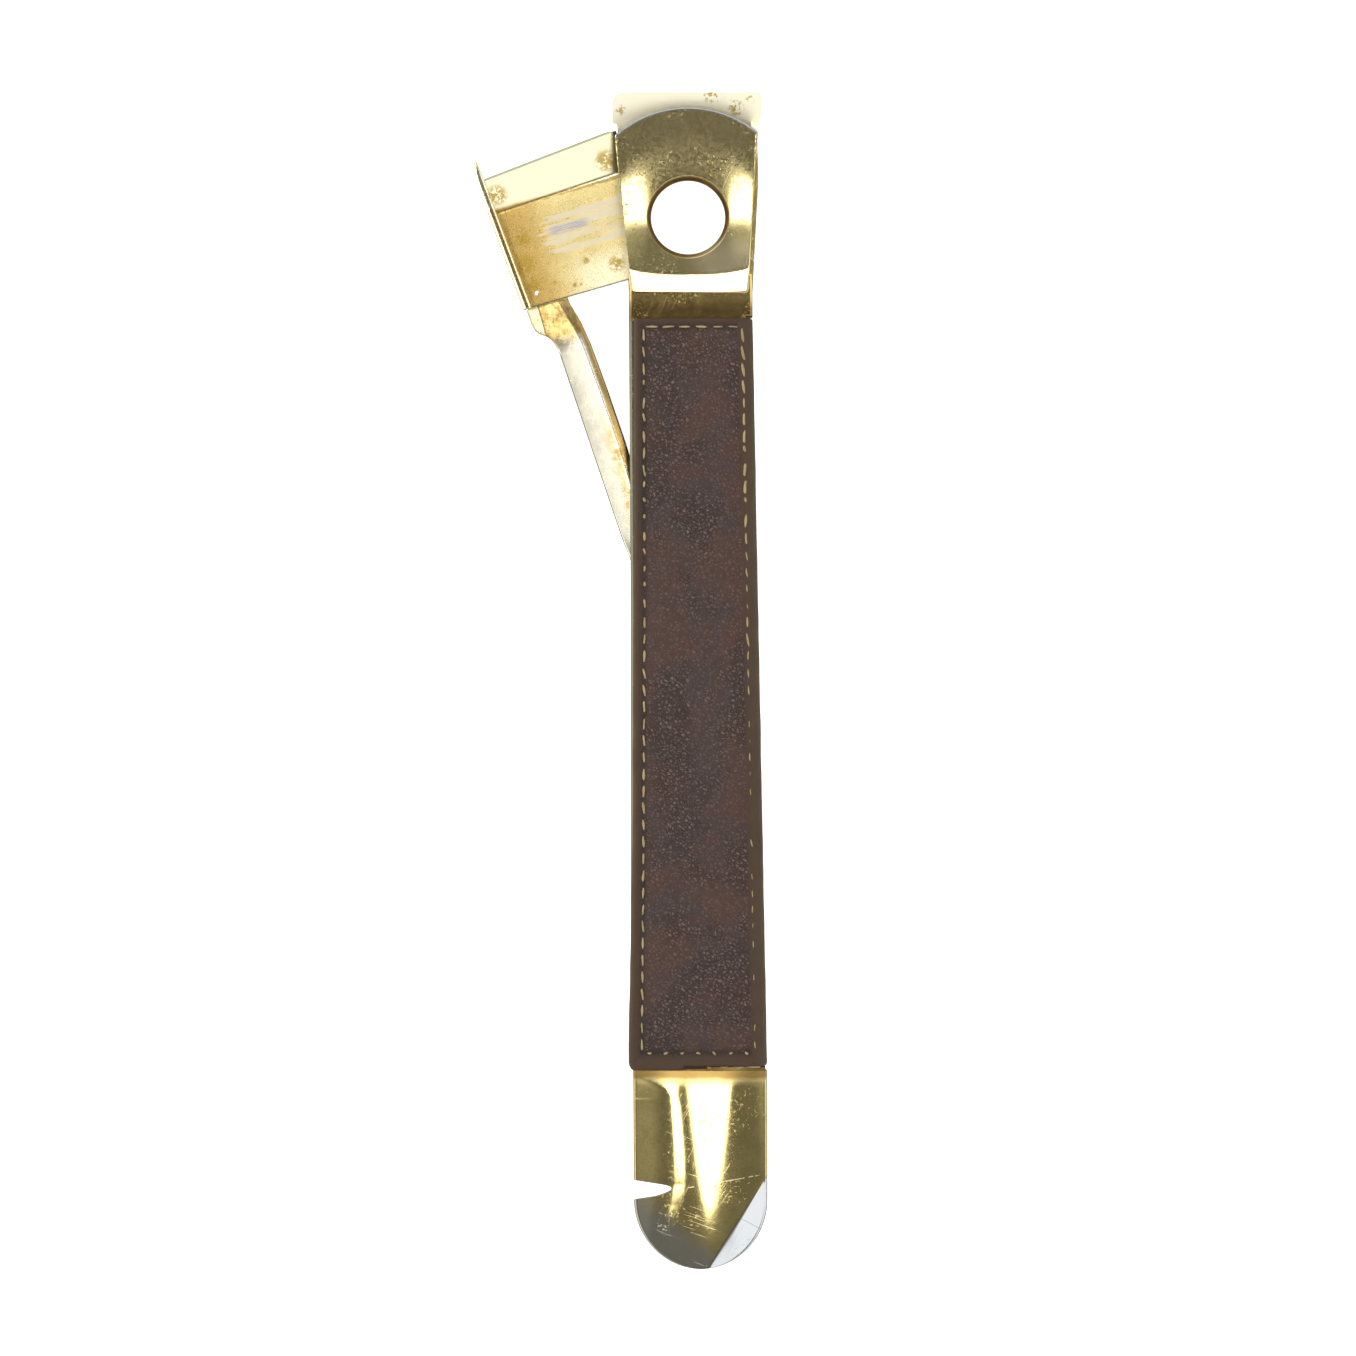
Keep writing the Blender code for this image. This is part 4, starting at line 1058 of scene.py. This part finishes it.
def flange_x(y, inward=0.0):
    """Outer face of the flange, which leans to the left."""
    return mix(-7.18, -8.85, (y - 44.4) / 21.8) + inward


def flange_section(y):
    """Standing side of the blade, rounded along its outer corner, pointed at the top."""
    taper = smoothstep(63.2, 66.3, y)
    left = flange_x(y, 0.75 * taper**2)
    right = max(flange_x(y, 1.2 - 0.1 * taper), left + 0.15)
    return section(left, right, BLADE_LOW, FLANGE_HIGH, 0.16, y, 4)


def blade():
    """Cutting plate and sloping upper part, with the flange and the small relief hole."""
    sheet = lofted("gilt_blade", [blade_row(mix(-8.0, 12.2, i / 34.0)) for i in range(35)], sharp=28.0)
    stations = [mix(44.4, 62.5, i / 24.0) for i in range(25)] + [63.5, 64.4, 65.1, 65.7, 66.1, 66.3]
    combine(sheet, lofted("flange", [flange_section(y) for y in stations], sharp=50.0), "UNION", 32.0)
    relief = circle((flange_x(RELIEF_Y, 2.6), RELIEF_Y), 0.32, 20)
    return combine(sheet, cutter("relief", relief), "DIFFERENCE", 32.0)


# ---- leather

SKIN_FRONT = SLEEVE_HIGH.z - 0.1
SKIN_BACK = SLEEVE_LOW.z + 0.1
SKIN_THICK = 0.78
SKIN_BEND = 2.3
SIDE_LIP = 0.38
END_LIP = 0.3
PANEL_STEPS = 46
SLEEVE_ROWS = 300
CUT_SHORT = 0.55
# The left edge and the left seam: y and x.
SLEEVE_LEFT = [
    (SLEEVE_LOW.y, -4.42), (-60.0, -4.38), (-45.0, -4.05), (-30.0, -3.82), (SLEEVE_HIGH.y, -3.66),
]
SEAM_LEFT = [(-64.0, -2.55), (-40.0, -2.35), (0.0, -2.15), (39.0, -2.3)]
SEAM_TOP = 38.25
SEAM_LOW = -63.45


def sleeve_right(y):
    share = (SLEEVE_HIGH.y - y) / (SLEEVE_HIGH.y - SLEEVE_LOW.y)
    return mix(13.04, SLEEVE_HIGH.x, share) - 0.02


def corner_inset(y, top, low):
    """How far a rounded corner of the panel draws its side in; top and low are the corners' sizes."""
    inset = 0.0
    for size, distance in ((top, SLEEVE_HIGH.y - y), (low, y - SLEEVE_LOW.y)):
        if distance < size:
            inset += size - sqrt(max(size * size - (size - distance) ** 2, 0.0))
    return inset


def seam_right(y):
    return sleeve_right(y) - mix(1.75, 1.55, (y + 64.0) / 103.0)


def seam_distance(x, y):
    """Distance to the line of stitches, negative inside it."""
    return max(along(SEAM_LEFT, y) - x, x - seam_right(y), y - SEAM_TOP, SEAM_LOW - y)


def leather_surface(x, y):
    """Height of the panel over its nominal face, and its groove and border marks.

    The middle is padded, the seam is sunk, the border is soft and everything waves a little.
    """
    distance = seam_distance(x, y)
    groove = exp(-((distance / 0.42) ** 2))
    padded = 0.20 * smoothstep(0.3, -2.6, distance)
    border = 0.06 * smoothstep(0.3, 0.9, distance)
    wave = 0.05 * noise.noise(Vector((x * 0.22, y * 0.16, 1.0)))
    wave += 0.02 * noise.noise(Vector((x * 0.9, y * 0.7, 5.0)))
    return padded + border - 0.20 * groove + wave - 0.12, groove, smoothstep(0.15, 0.5, distance)


def sleeve_section(y):
    """One ring of the C-shaped sleeve, and a (border, groove, edge) mark for each of its points.

    It runs from the front left round the right side to the back, then along the lining.
    """
    uneven = 0.05 * noise.noise(Vector((4.0, y * 0.25, 0.0)))
    left = along(SLEEVE_LEFT, y) + uneven + 0.6 * corner_inset(y, 0.5, 1.3)
    right = sleeve_right(y) - 0.04 + 0.7 * uneven - 0.5 * corner_inset(y, 0.5, 0.8)
    lip_x = left + SIDE_LIP
    bend_x = right - SKIN_BEND
    ring = []
    marks = []

    def add(x, z, border=1.0, groove=0.0, edge=0.0):
        ring.append((x, y, z))
        marks.append((border, groove, edge))

    def add_turn(x, z, radius, angle, edge):
        turn = radians(angle)
        add(x + radius * cos(turn), z + radius * sin(turn), edge=edge)

    for k in range(5):
        add_turn(lip_x, SKIN_FRONT - SIDE_LIP - 0.06, SIDE_LIP, 180.0 - 22.5 * k, 1.0 - k / 5.0)
    for k in range(1, PANEL_STEPS + 1):
        x = mix(lip_x, bend_x, k / PANEL_STEPS)
        rise, groove, border = leather_surface(x, y)
        add(x, SKIN_FRONT + rise, border, groove)
    for k in range(1, 10):
        radius = SKIN_BEND + 0.03 * noise.noise(Vector((2.0, y * 0.3, k * 0.4)))
        add_turn(bend_x, SKIN_FRONT - 0.06 - SKIN_BEND, radius, 90.0 - 10.0 * k, (k / 9.0) ** 1.5)
    for k in range(1, 6):
        add(right, mix(SKIN_FRONT - SKIN_BEND, SKIN_BACK + SKIN_BEND, k / 6.0), border=0.8, edge=0.35)
    for k in range(10):
        add_turn(bend_x, SKIN_BACK + 0.06 + SKIN_BEND, SKIN_BEND, -10.0 * k, 0.3)
    for k in range(1, PANEL_STEPS + 1):
        x = mix(bend_x, lip_x, k / PANEL_STEPS)
        rise, groove, border = leather_surface(x, y)
        add(x, SKIN_BACK - rise, border, groove)
    for k in range(5):
        add_turn(lip_x, SKIN_BACK + SIDE_LIP + 0.06, SIDE_LIP, 270.0 - 22.5 * k, k / 5.0)

    inner = SKIN_BEND - SKIN_THICK
    lining = [mix(left + 0.1, bend_x, k / 7.0) for k in range(8)]
    for x in lining:
        add(x, SKIN_BACK + SKIN_THICK, edge=1.0)
    for k in range(1, 6):
        add_turn(bend_x, SKIN_BACK + SKIN_BEND, inner, -90.0 + 18.0 * k, 1.0)
    for k in range(5):
        add_turn(bend_x, SKIN_FRONT - SKIN_BEND, inner, 18.0 * k, 1.0)
    for x in reversed(lining):
        add(x, SKIN_FRONT - SKIN_THICK, edge=1.0)
    return ring, marks


def end_tuck(y):
    """How far the skin is rounded in close to the sleeve's ends."""
    near_end = min(SLEEVE_HIGH.y - y, y - SLEEVE_LOW.y, END_LIP)
    return END_LIP - sqrt(max(END_LIP**2 - (END_LIP - near_end) ** 2, 0.0))


def shaped(point, tuck):
    """A point of the sleeve drawn in at the ends; the lower edge is cut shorter on the right."""
    x, y, z = point
    middle = (SLEEVE_HIGH.z + SLEEVE_LOW.z) / 2.0
    half = (SLEEVE_HIGH.z - SLEEVE_LOW.z) / 2.0
    if abs(z - middle) > half - 0.55:
        z -= copysign(0.8 * tuck, z - middle)
    elif x > 11.5:
        x -= 0.8 * tuck
    step = CUT_SHORT * smoothstep(2.9, 3.4, x)
    return (x, y + step * smoothstep(SLEEVE_LOW.y + 3.0, SLEEVE_LOW.y, y), z)


def leather_sleeve(material):
    close = (0.0, 0.1, 0.22, END_LIP)
    top = SLEEVE_HIGH.y
    low = SLEEVE_LOW.y
    stations = [top - distance for distance in close]
    stations += [mix(top - END_LIP, low + END_LIP, i / SLEEVE_ROWS) for i in range(1, SLEEVE_ROWS)]
    stations += [low + distance for distance in reversed(close)]
    rows = []
    marks = []
    for y in stations:
        ring, ring_marks = sleeve_section(y)
        rows.append([shaped(point, end_tuck(y)) for point in ring])
        marks += ring_marks
    sleeve = lofted("leather_cover", rows, sharp=70.0)
    for index, name in enumerate(("border", "groove", "edge")):
        layer = sleeve.data.attributes.new(name, "FLOAT", "POINT")
        layer.data.foreach_set("value", [mark[index] for mark in marks])
    paint(sleeve, material)
    return sleeve


STITCH_PITCH = 2.35
STITCH_RINGS = 11
STITCH_SIDES = 8


def add_stitch(bm, start, end, up, radius, rng):
    """One stitch of two-ply thread: a shallow arch whose ends dive into the leather."""
    start = Vector(start)
    up = Vector(up)
    run = Vector(end) - start
    side = run.normalized().cross(up)
    lean = rng.uniform(-0.12, 0.12)
    phase = rng.uniform(0.0, pi)
    lift = rng.uniform(0.8, 1.1)
    rows = []
    for i in range(STITCH_RINGS):
        t = i / (STITCH_RINGS - 1)
        arch = 0.34 * lift * sin(pi * t) ** 0.55 - 0.26
        centre = start + run * t + side * lean * (t - 0.5) + up * arch
        taper = 0.55 + 0.45 * sin(pi * t) ** 0.5
        row = []
        for k in range(STITCH_SIDES):
            angle = 2.0 * pi * k / STITCH_SIDES
            ply = radius * taper * (1.0 + 0.16 * cos(2.0 * (angle - phase) + 7.0 * t))
            row.append(centre + side * (ply * cos(angle)) + up * (0.9 * ply * sin(angle)))
        rows.append(row)
    join_rings(bm, rows)


def seam_run(points, pitch, gap, rng):
    """Stitch ends spaced evenly along a polyline."""
    line = [Vector(p) for p in points]
    lengths = [(b - a).length for a, b in zip(line, line[1:])]
    count = max(1, round(sum(lengths) / pitch))
    step = sum(lengths) / count

    def at(distance):
        for a, b, length in zip(line, line[1:], lengths):
            if distance <= length:
                return a.lerp(b, distance / length)
            distance -= length
        return line[-1]

    for i in range(count):
        jitter = rng.uniform(-0.06, 0.06)
        yield at(i * step + gap / 2.0 + jitter), at((i + 1) * step - gap / 2.0 + jitter)


def stitching(name, up, material, seed):
    """The seam round one panel: long stitches down the sides, short knots along the lower edge.

    up is 1 for the front panel and -1 for the back one.
    """
    rng = random.Random(seed)
    bm = bmesh.new()
    outward = (0.0, 0.0, up)
    face = SKIN_FRONT if up > 0.0 else SKIN_BACK

    def add(start, end, radius):
        ends = [(p.x, p.y, face + up * leather_surface(p.x, p.y)[0]) for p in (start, end)]
        add_stitch(bm, *ends, outward, radius, rng)

    ys = [mix(SEAM_TOP, SEAM_LOW, i / 20.0) for i in range(21)]
    left = [(along(SEAM_LEFT, y), y, 0.0) for y in ys]
    right = [(seam_right(y), y, 0.0) for y in ys]
    upper = [left[0], right[0]]
    lower = [left[-1], right[-1]]
    for run, gap, size in ((left, 0.4, 0.155), (right, -0.15, 0.2), (upper, 0.25, 0.125)):
        for a, b in seam_run(run, STITCH_PITCH, gap, rng):
            knotted = run is left and -2.0 < a.y < 18.0
            if knotted or rng.random() < 0.05:
                b = a.lerp(b, rng.uniform(0.35, 0.75))
            drift = Vector((rng.uniform(-0.20, 0.12), 0.0, 0.0))
            if run is upper:
                drift = Vector((0.0, rng.uniform(-0.08, 0.08), 0.0))
            sunk = 0.62 if run is right and a.y < 6.0 else 1.0
            add(a + drift, b - drift, sunk * size * rng.uniform(0.85, 1.12))
    for a, b in seam_run(lower, 2.3, 1.4, rng):
        turn = rng.uniform(-0.9, 0.9)
        middle = a.lerp(b, 0.5)
        half = Vector((cos(turn), sin(turn), 0.0)) * rng.uniform(0.3, 0.42)
        add(middle - half, middle + half, 0.15 * rng.uniform(0.9, 1.15))
    seam = finish_mesh(bm, name, 60.0)
    paint(seam, material)
    return seam


def edge_thread(material):
    """Long stitches that show along the shorter part of the lower edge."""
    rng = random.Random(5)
    bm = bmesh.new()
    y = SLEEVE_LOW.y + CUT_SHORT - 0.12
    z = SLEEVE_HIGH.z - 0.75
    for a, b in seam_run([(3.7, y, z), (12.0, y, z)], 2.1, 0.45, rng):
        add_stitch(bm, a, b, (0.0, -0.25, 0.97), 0.16, rng)
    thread = finish_mesh(bm, "lower_edge_stitches", 60.0)
    paint(thread, material)
    return thread


# ---- spring

SPRING_LOW, SPRING_HIGH = box_mm("leaf_spring")
SPRING_STRAIGHT_Y = SPRING_LOW.y + 13.0
SPRING_THICK = 0.42
SPRING_STEPS = 60


def opening_spring():
    """Leaf spring, thin strip that follows the CAD leaf."""
    rows = []
    for i in range(SPRING_STEPS + 1):
        y = mix(SPRING_LOW.y, SPRING_HIGH.y, i / SPRING_STEPS)
        wall = mix(SPRING_HIGH.x - 0.25, SPRING_HIGH.x - 1.1, i / SPRING_STEPS)
        t = max((y - SPRING_STRAIGHT_Y) / (SPRING_HIGH.y - SPRING_STRAIGHT_Y), 0.0)
        x = mix(wall, SPRING_LOW.x + 0.3, t * t * (3.0 - t) / 2.0)
        half = SPRING_THICK / 2.0
        rows.append(section(x - half, x + half, SPRING_LOW.z, SPRING_HIGH.z, 0.12, y, 2))
    return lofted("opening_spring", rows, sharp=40.0)


# ---- stage

BRIGHT = 1.35
GAP_BRIGHT = 5.5
DARK = 0.175
WARM_WHITE = (1.0, 0.99, 0.97, 1.0)


def white_gaps(n, across, ahead):
    """The narrow gaps in the dark part: a wedge and a strip for the cap, two side panels for the plate."""
    wide = n.math("ABSOLUTE", across)
    reach = n.math("POWER", n.ramp(ahead, -0.385, -0.145, "LINEAR"), 0.62)
    inside = n.minus(n.times(reach, 0.187), wide)
    wedge = n.times(n.ramp(inside, 0.0, 0.012), n.ramp(ahead, -0.146, -0.153))
    path = {"Value": ahead, "From Min": -0.363, "From Max": -0.243, "To Min": -0.245, "To Max": -0.29}
    centre = n.call("ShaderNodeMapRange", "Result", path)
    aside = n.math("ABSOLUTE", n.minus(across, centre))
    strip = n.times(n.ramp(aside, 0.062, 0.05), n.band(ahead, -0.335, -0.128, 0.006))
    sides = n.times(n.band(wide, 0.12, 0.27, 0.008), n.band(ahead, -0.07, 0.10, 0.01))
    return n.most(n.most(wedge, strip), sides)


def dark_side(n, wide, ahead):
    """The dark part overhead, lighter toward its borders and bright where the open lever mirrors it."""
    shade = n.number(n.ramp(ahead, 0.09, 0.15), DARK, DARK * 1.5)
    shade = n.number(n.times(n.ramp(wide, 0.08, 0.16), n.ramp(ahead, 0.10, 0.17)), shade, DARK * 2.6)
    shade = n.number(n.ramp(ahead, -0.1, -0.2), shade, DARK * 1.25)
    shade = n.number(n.ramp(wide, 0.45, 0.65), shade, DARK * 2.2)
    over_lever = n.times(n.ramp(wide, 0.27, 0.31), n.band(ahead, -0.11, 0.24, 0.015))
    return n.number(over_lever, shade, BRIGHT)


def world_light():
    """White tent with a dark side overhead, broken by narrow white gaps.

    Directions are slopes against the vertical: across is to the right, ahead is toward the head.
    """
    world = bpy.data.worlds.new("light_tent")
    bpy.context.scene.world = world
    world.use_nodes = True
    n = Nodes(world.node_tree)
    parts = n.add("ShaderNodeSeparateXYZ")
    n.put(parts.inputs[0], n.add("ShaderNodeTexCoord").outputs["Generated"])
    rise = parts.outputs[2]
    up = n.most(rise, 0.02)
    across = n.math("DIVIDE", parts.outputs[0], up)
    ahead = n.math("DIVIDE", parts.outputs[1], up)
    wide = n.math("ABSOLUTE", across)
    gaps = white_gaps(n, across, ahead)
    far_ahead = n.ramp(n.math("ABSOLUTE", n.plus(ahead, 0.05)), 0.80, 0.90)
    tent = n.most(n.ramp(wide, 0.70, 0.80), far_ahead)
    horizon = n.number(n.ramp(rise, 0.0, 0.5), BRIGHT * 0.45, BRIGHT)
    level = n.number(n.most(gaps, tent), dark_side(n, wide, ahead), horizon)
    background = world.node_tree.nodes["Background"]
    background.inputs["Color"].default_value = WARM_WHITE
    n.put(background.inputs["Strength"], n.number(gaps, level, GAP_BRIGHT))


def floor():
    """Pale floor that glows a little to the camera and reflects less into the metal."""
    made, n, shader = new_material("pale_floor")
    seen = n.add("ShaderNodeLightPath").outputs["Is Camera Ray"]
    pale = n.mix(n.noise(n.place().where, 0.03, 3.0), "seen floor low", "seen floor high")
    n.put(shader.inputs["Base Color"], n.mix(seen, "floor", pale))
    n.put(shader.inputs["Roughness"], 0.9)
    n.put(shader.inputs["Specular IOR Level"], 0.1)
    n.put(shader.inputs["Emission Color"], rgba("white"))
    n.put(shader.inputs["Emission Strength"], n.times(seen, 0.9))
    bm = bmesh.new()
    bmesh.ops.create_grid(bm, x_segments=8, y_segments=8, size=1200.0)
    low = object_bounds()[0][2] / MM - 0.05
    bmesh.ops.translate(bm, verts=bm.verts, vec=(0.0, 0.0, low))
    ground = finish_mesh(bm, "floor", None)
    paint(ground, made)
    ground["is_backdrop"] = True


def key_light():
    """Soft lamp from the upper left."""
    data = bpy.data.lights.new("key", "AREA")
    data.size = 0.3
    data.energy = 2.0
    lamp = bpy.data.objects.new("key", data)
    bpy.context.scene.collection.objects.link(lamp)
    lamp.location = (-0.55, 0.35, 0.45)
    lamp.rotation_euler = (-lamp.location).to_track_quat("-Z", "Y").to_euler()
    lamp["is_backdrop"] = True


CAMERA_DISTANCE = 1.6
LENGTH_IN_VIEW = 0.868
VIEW_SHIFT = (0.00252, 0.00046)


def camera():
    """Straight above the object, far enough away for the sides to stay hidden."""
    low, high = (Vector(corner) for corner in CAD_BOUNDS)
    data = bpy.data.cameras.new("camera")
    data.sensor_width = 36.0
    data.lens = data.sensor_width * CAMERA_DISTANCE * LENGTH_IN_VIEW / (high.y - low.y)
    data.clip_start = 0.01
    eye = bpy.data.objects.new("camera", data)
    bpy.context.scene.collection.objects.link(eye)
    aim_z = mix(low.z, high.z, 0.7)
    eye.location = (VIEW_SHIFT[0], (low.y + high.y) / 2.0 + VIEW_SHIFT[1], aim_z + CAMERA_DISTANCE)
    bpy.context.scene.camera = eye


# ---- assembly


def paint(obj, material):
    obj.data.materials.clear()
    obj.data.materials.append(material)


def lever_piece(obj, node):
    obj.rotation_euler.z = OPEN_ANGLE
    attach(obj, "lever")
    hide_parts(node)


def handle_piece(obj, node):
    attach(obj, "handle")
    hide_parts(node)


def spring_piece(obj):
    """The spring, curved from the end of its straight part to its tip, stays where it is drawn; its transform is
    baked into the mesh.
    """
    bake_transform(obj)
    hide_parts("leaf_spring")


def main():
    bpy.context.scene.view_settings.view_transform = "Standard"

    plate = head_plate()
    paint(plate, gilt("head_gilt", "head gold", 0.085, 3.0, head_wear_and_painted_light, specks=0.7, scratch=0.22))
    handle_piece(plate, "head_plate")
    cap = end_cap()
    paint(cap, gilt("cap_gilt", "cap gold", 0.06, 13.0, cap_wear_and_painted_shade, specks=0.6, scratch=0.35, haze=0.05))
    handle_piece(cap, "end_cap")

    arm = lever_arm()
    paint(arm, gilt("arm_gilt", "arm gold", 0.13, 19.0, arm_wear_and_painted_shade, specks=0.2, mottle=0.06))
    lever_piece(arm, "lever_arm")
    cutting_blade = blade()
    paint(cutting_blade, gilt("blade_gilt", "blade gold", 0.27, 23.0, blade_wear_and_painted_light, specks=0.25, mottle=0.08))
    lever_piece(cutting_blade, "blade")

    thread = thread_material()
    handle_piece(leather_sleeve(leather_material()), "leather_sleeve")
    handle_piece(stitching("front_stitches", 1.0, thread, 21), "front_stitching")
    handle_piece(stitching("back_stitches", -1.0, thread, 34), "back_stitching")
    handle_piece(edge_thread(thread), "edge_thread")

    spring = opening_spring()
    paint(spring, steel("spring_steel", "blued steel", 0.3))
    spring_piece(spring)

    body = gilt("frame_gilt", "frame gold", 0.14, 7.0, frame_wear_and_painted_light, specks=0.5)
    plain = steel("plain_steel", "steel", 0.28)
    for name, node in frame["nodes"].items():
        if name in ("back_frame", "front_frame"):
            paint(node, body)
        elif not node.hide_render:
            paint(node, plain)

    world_light()
    floor()
    key_light()
    camera()


main()
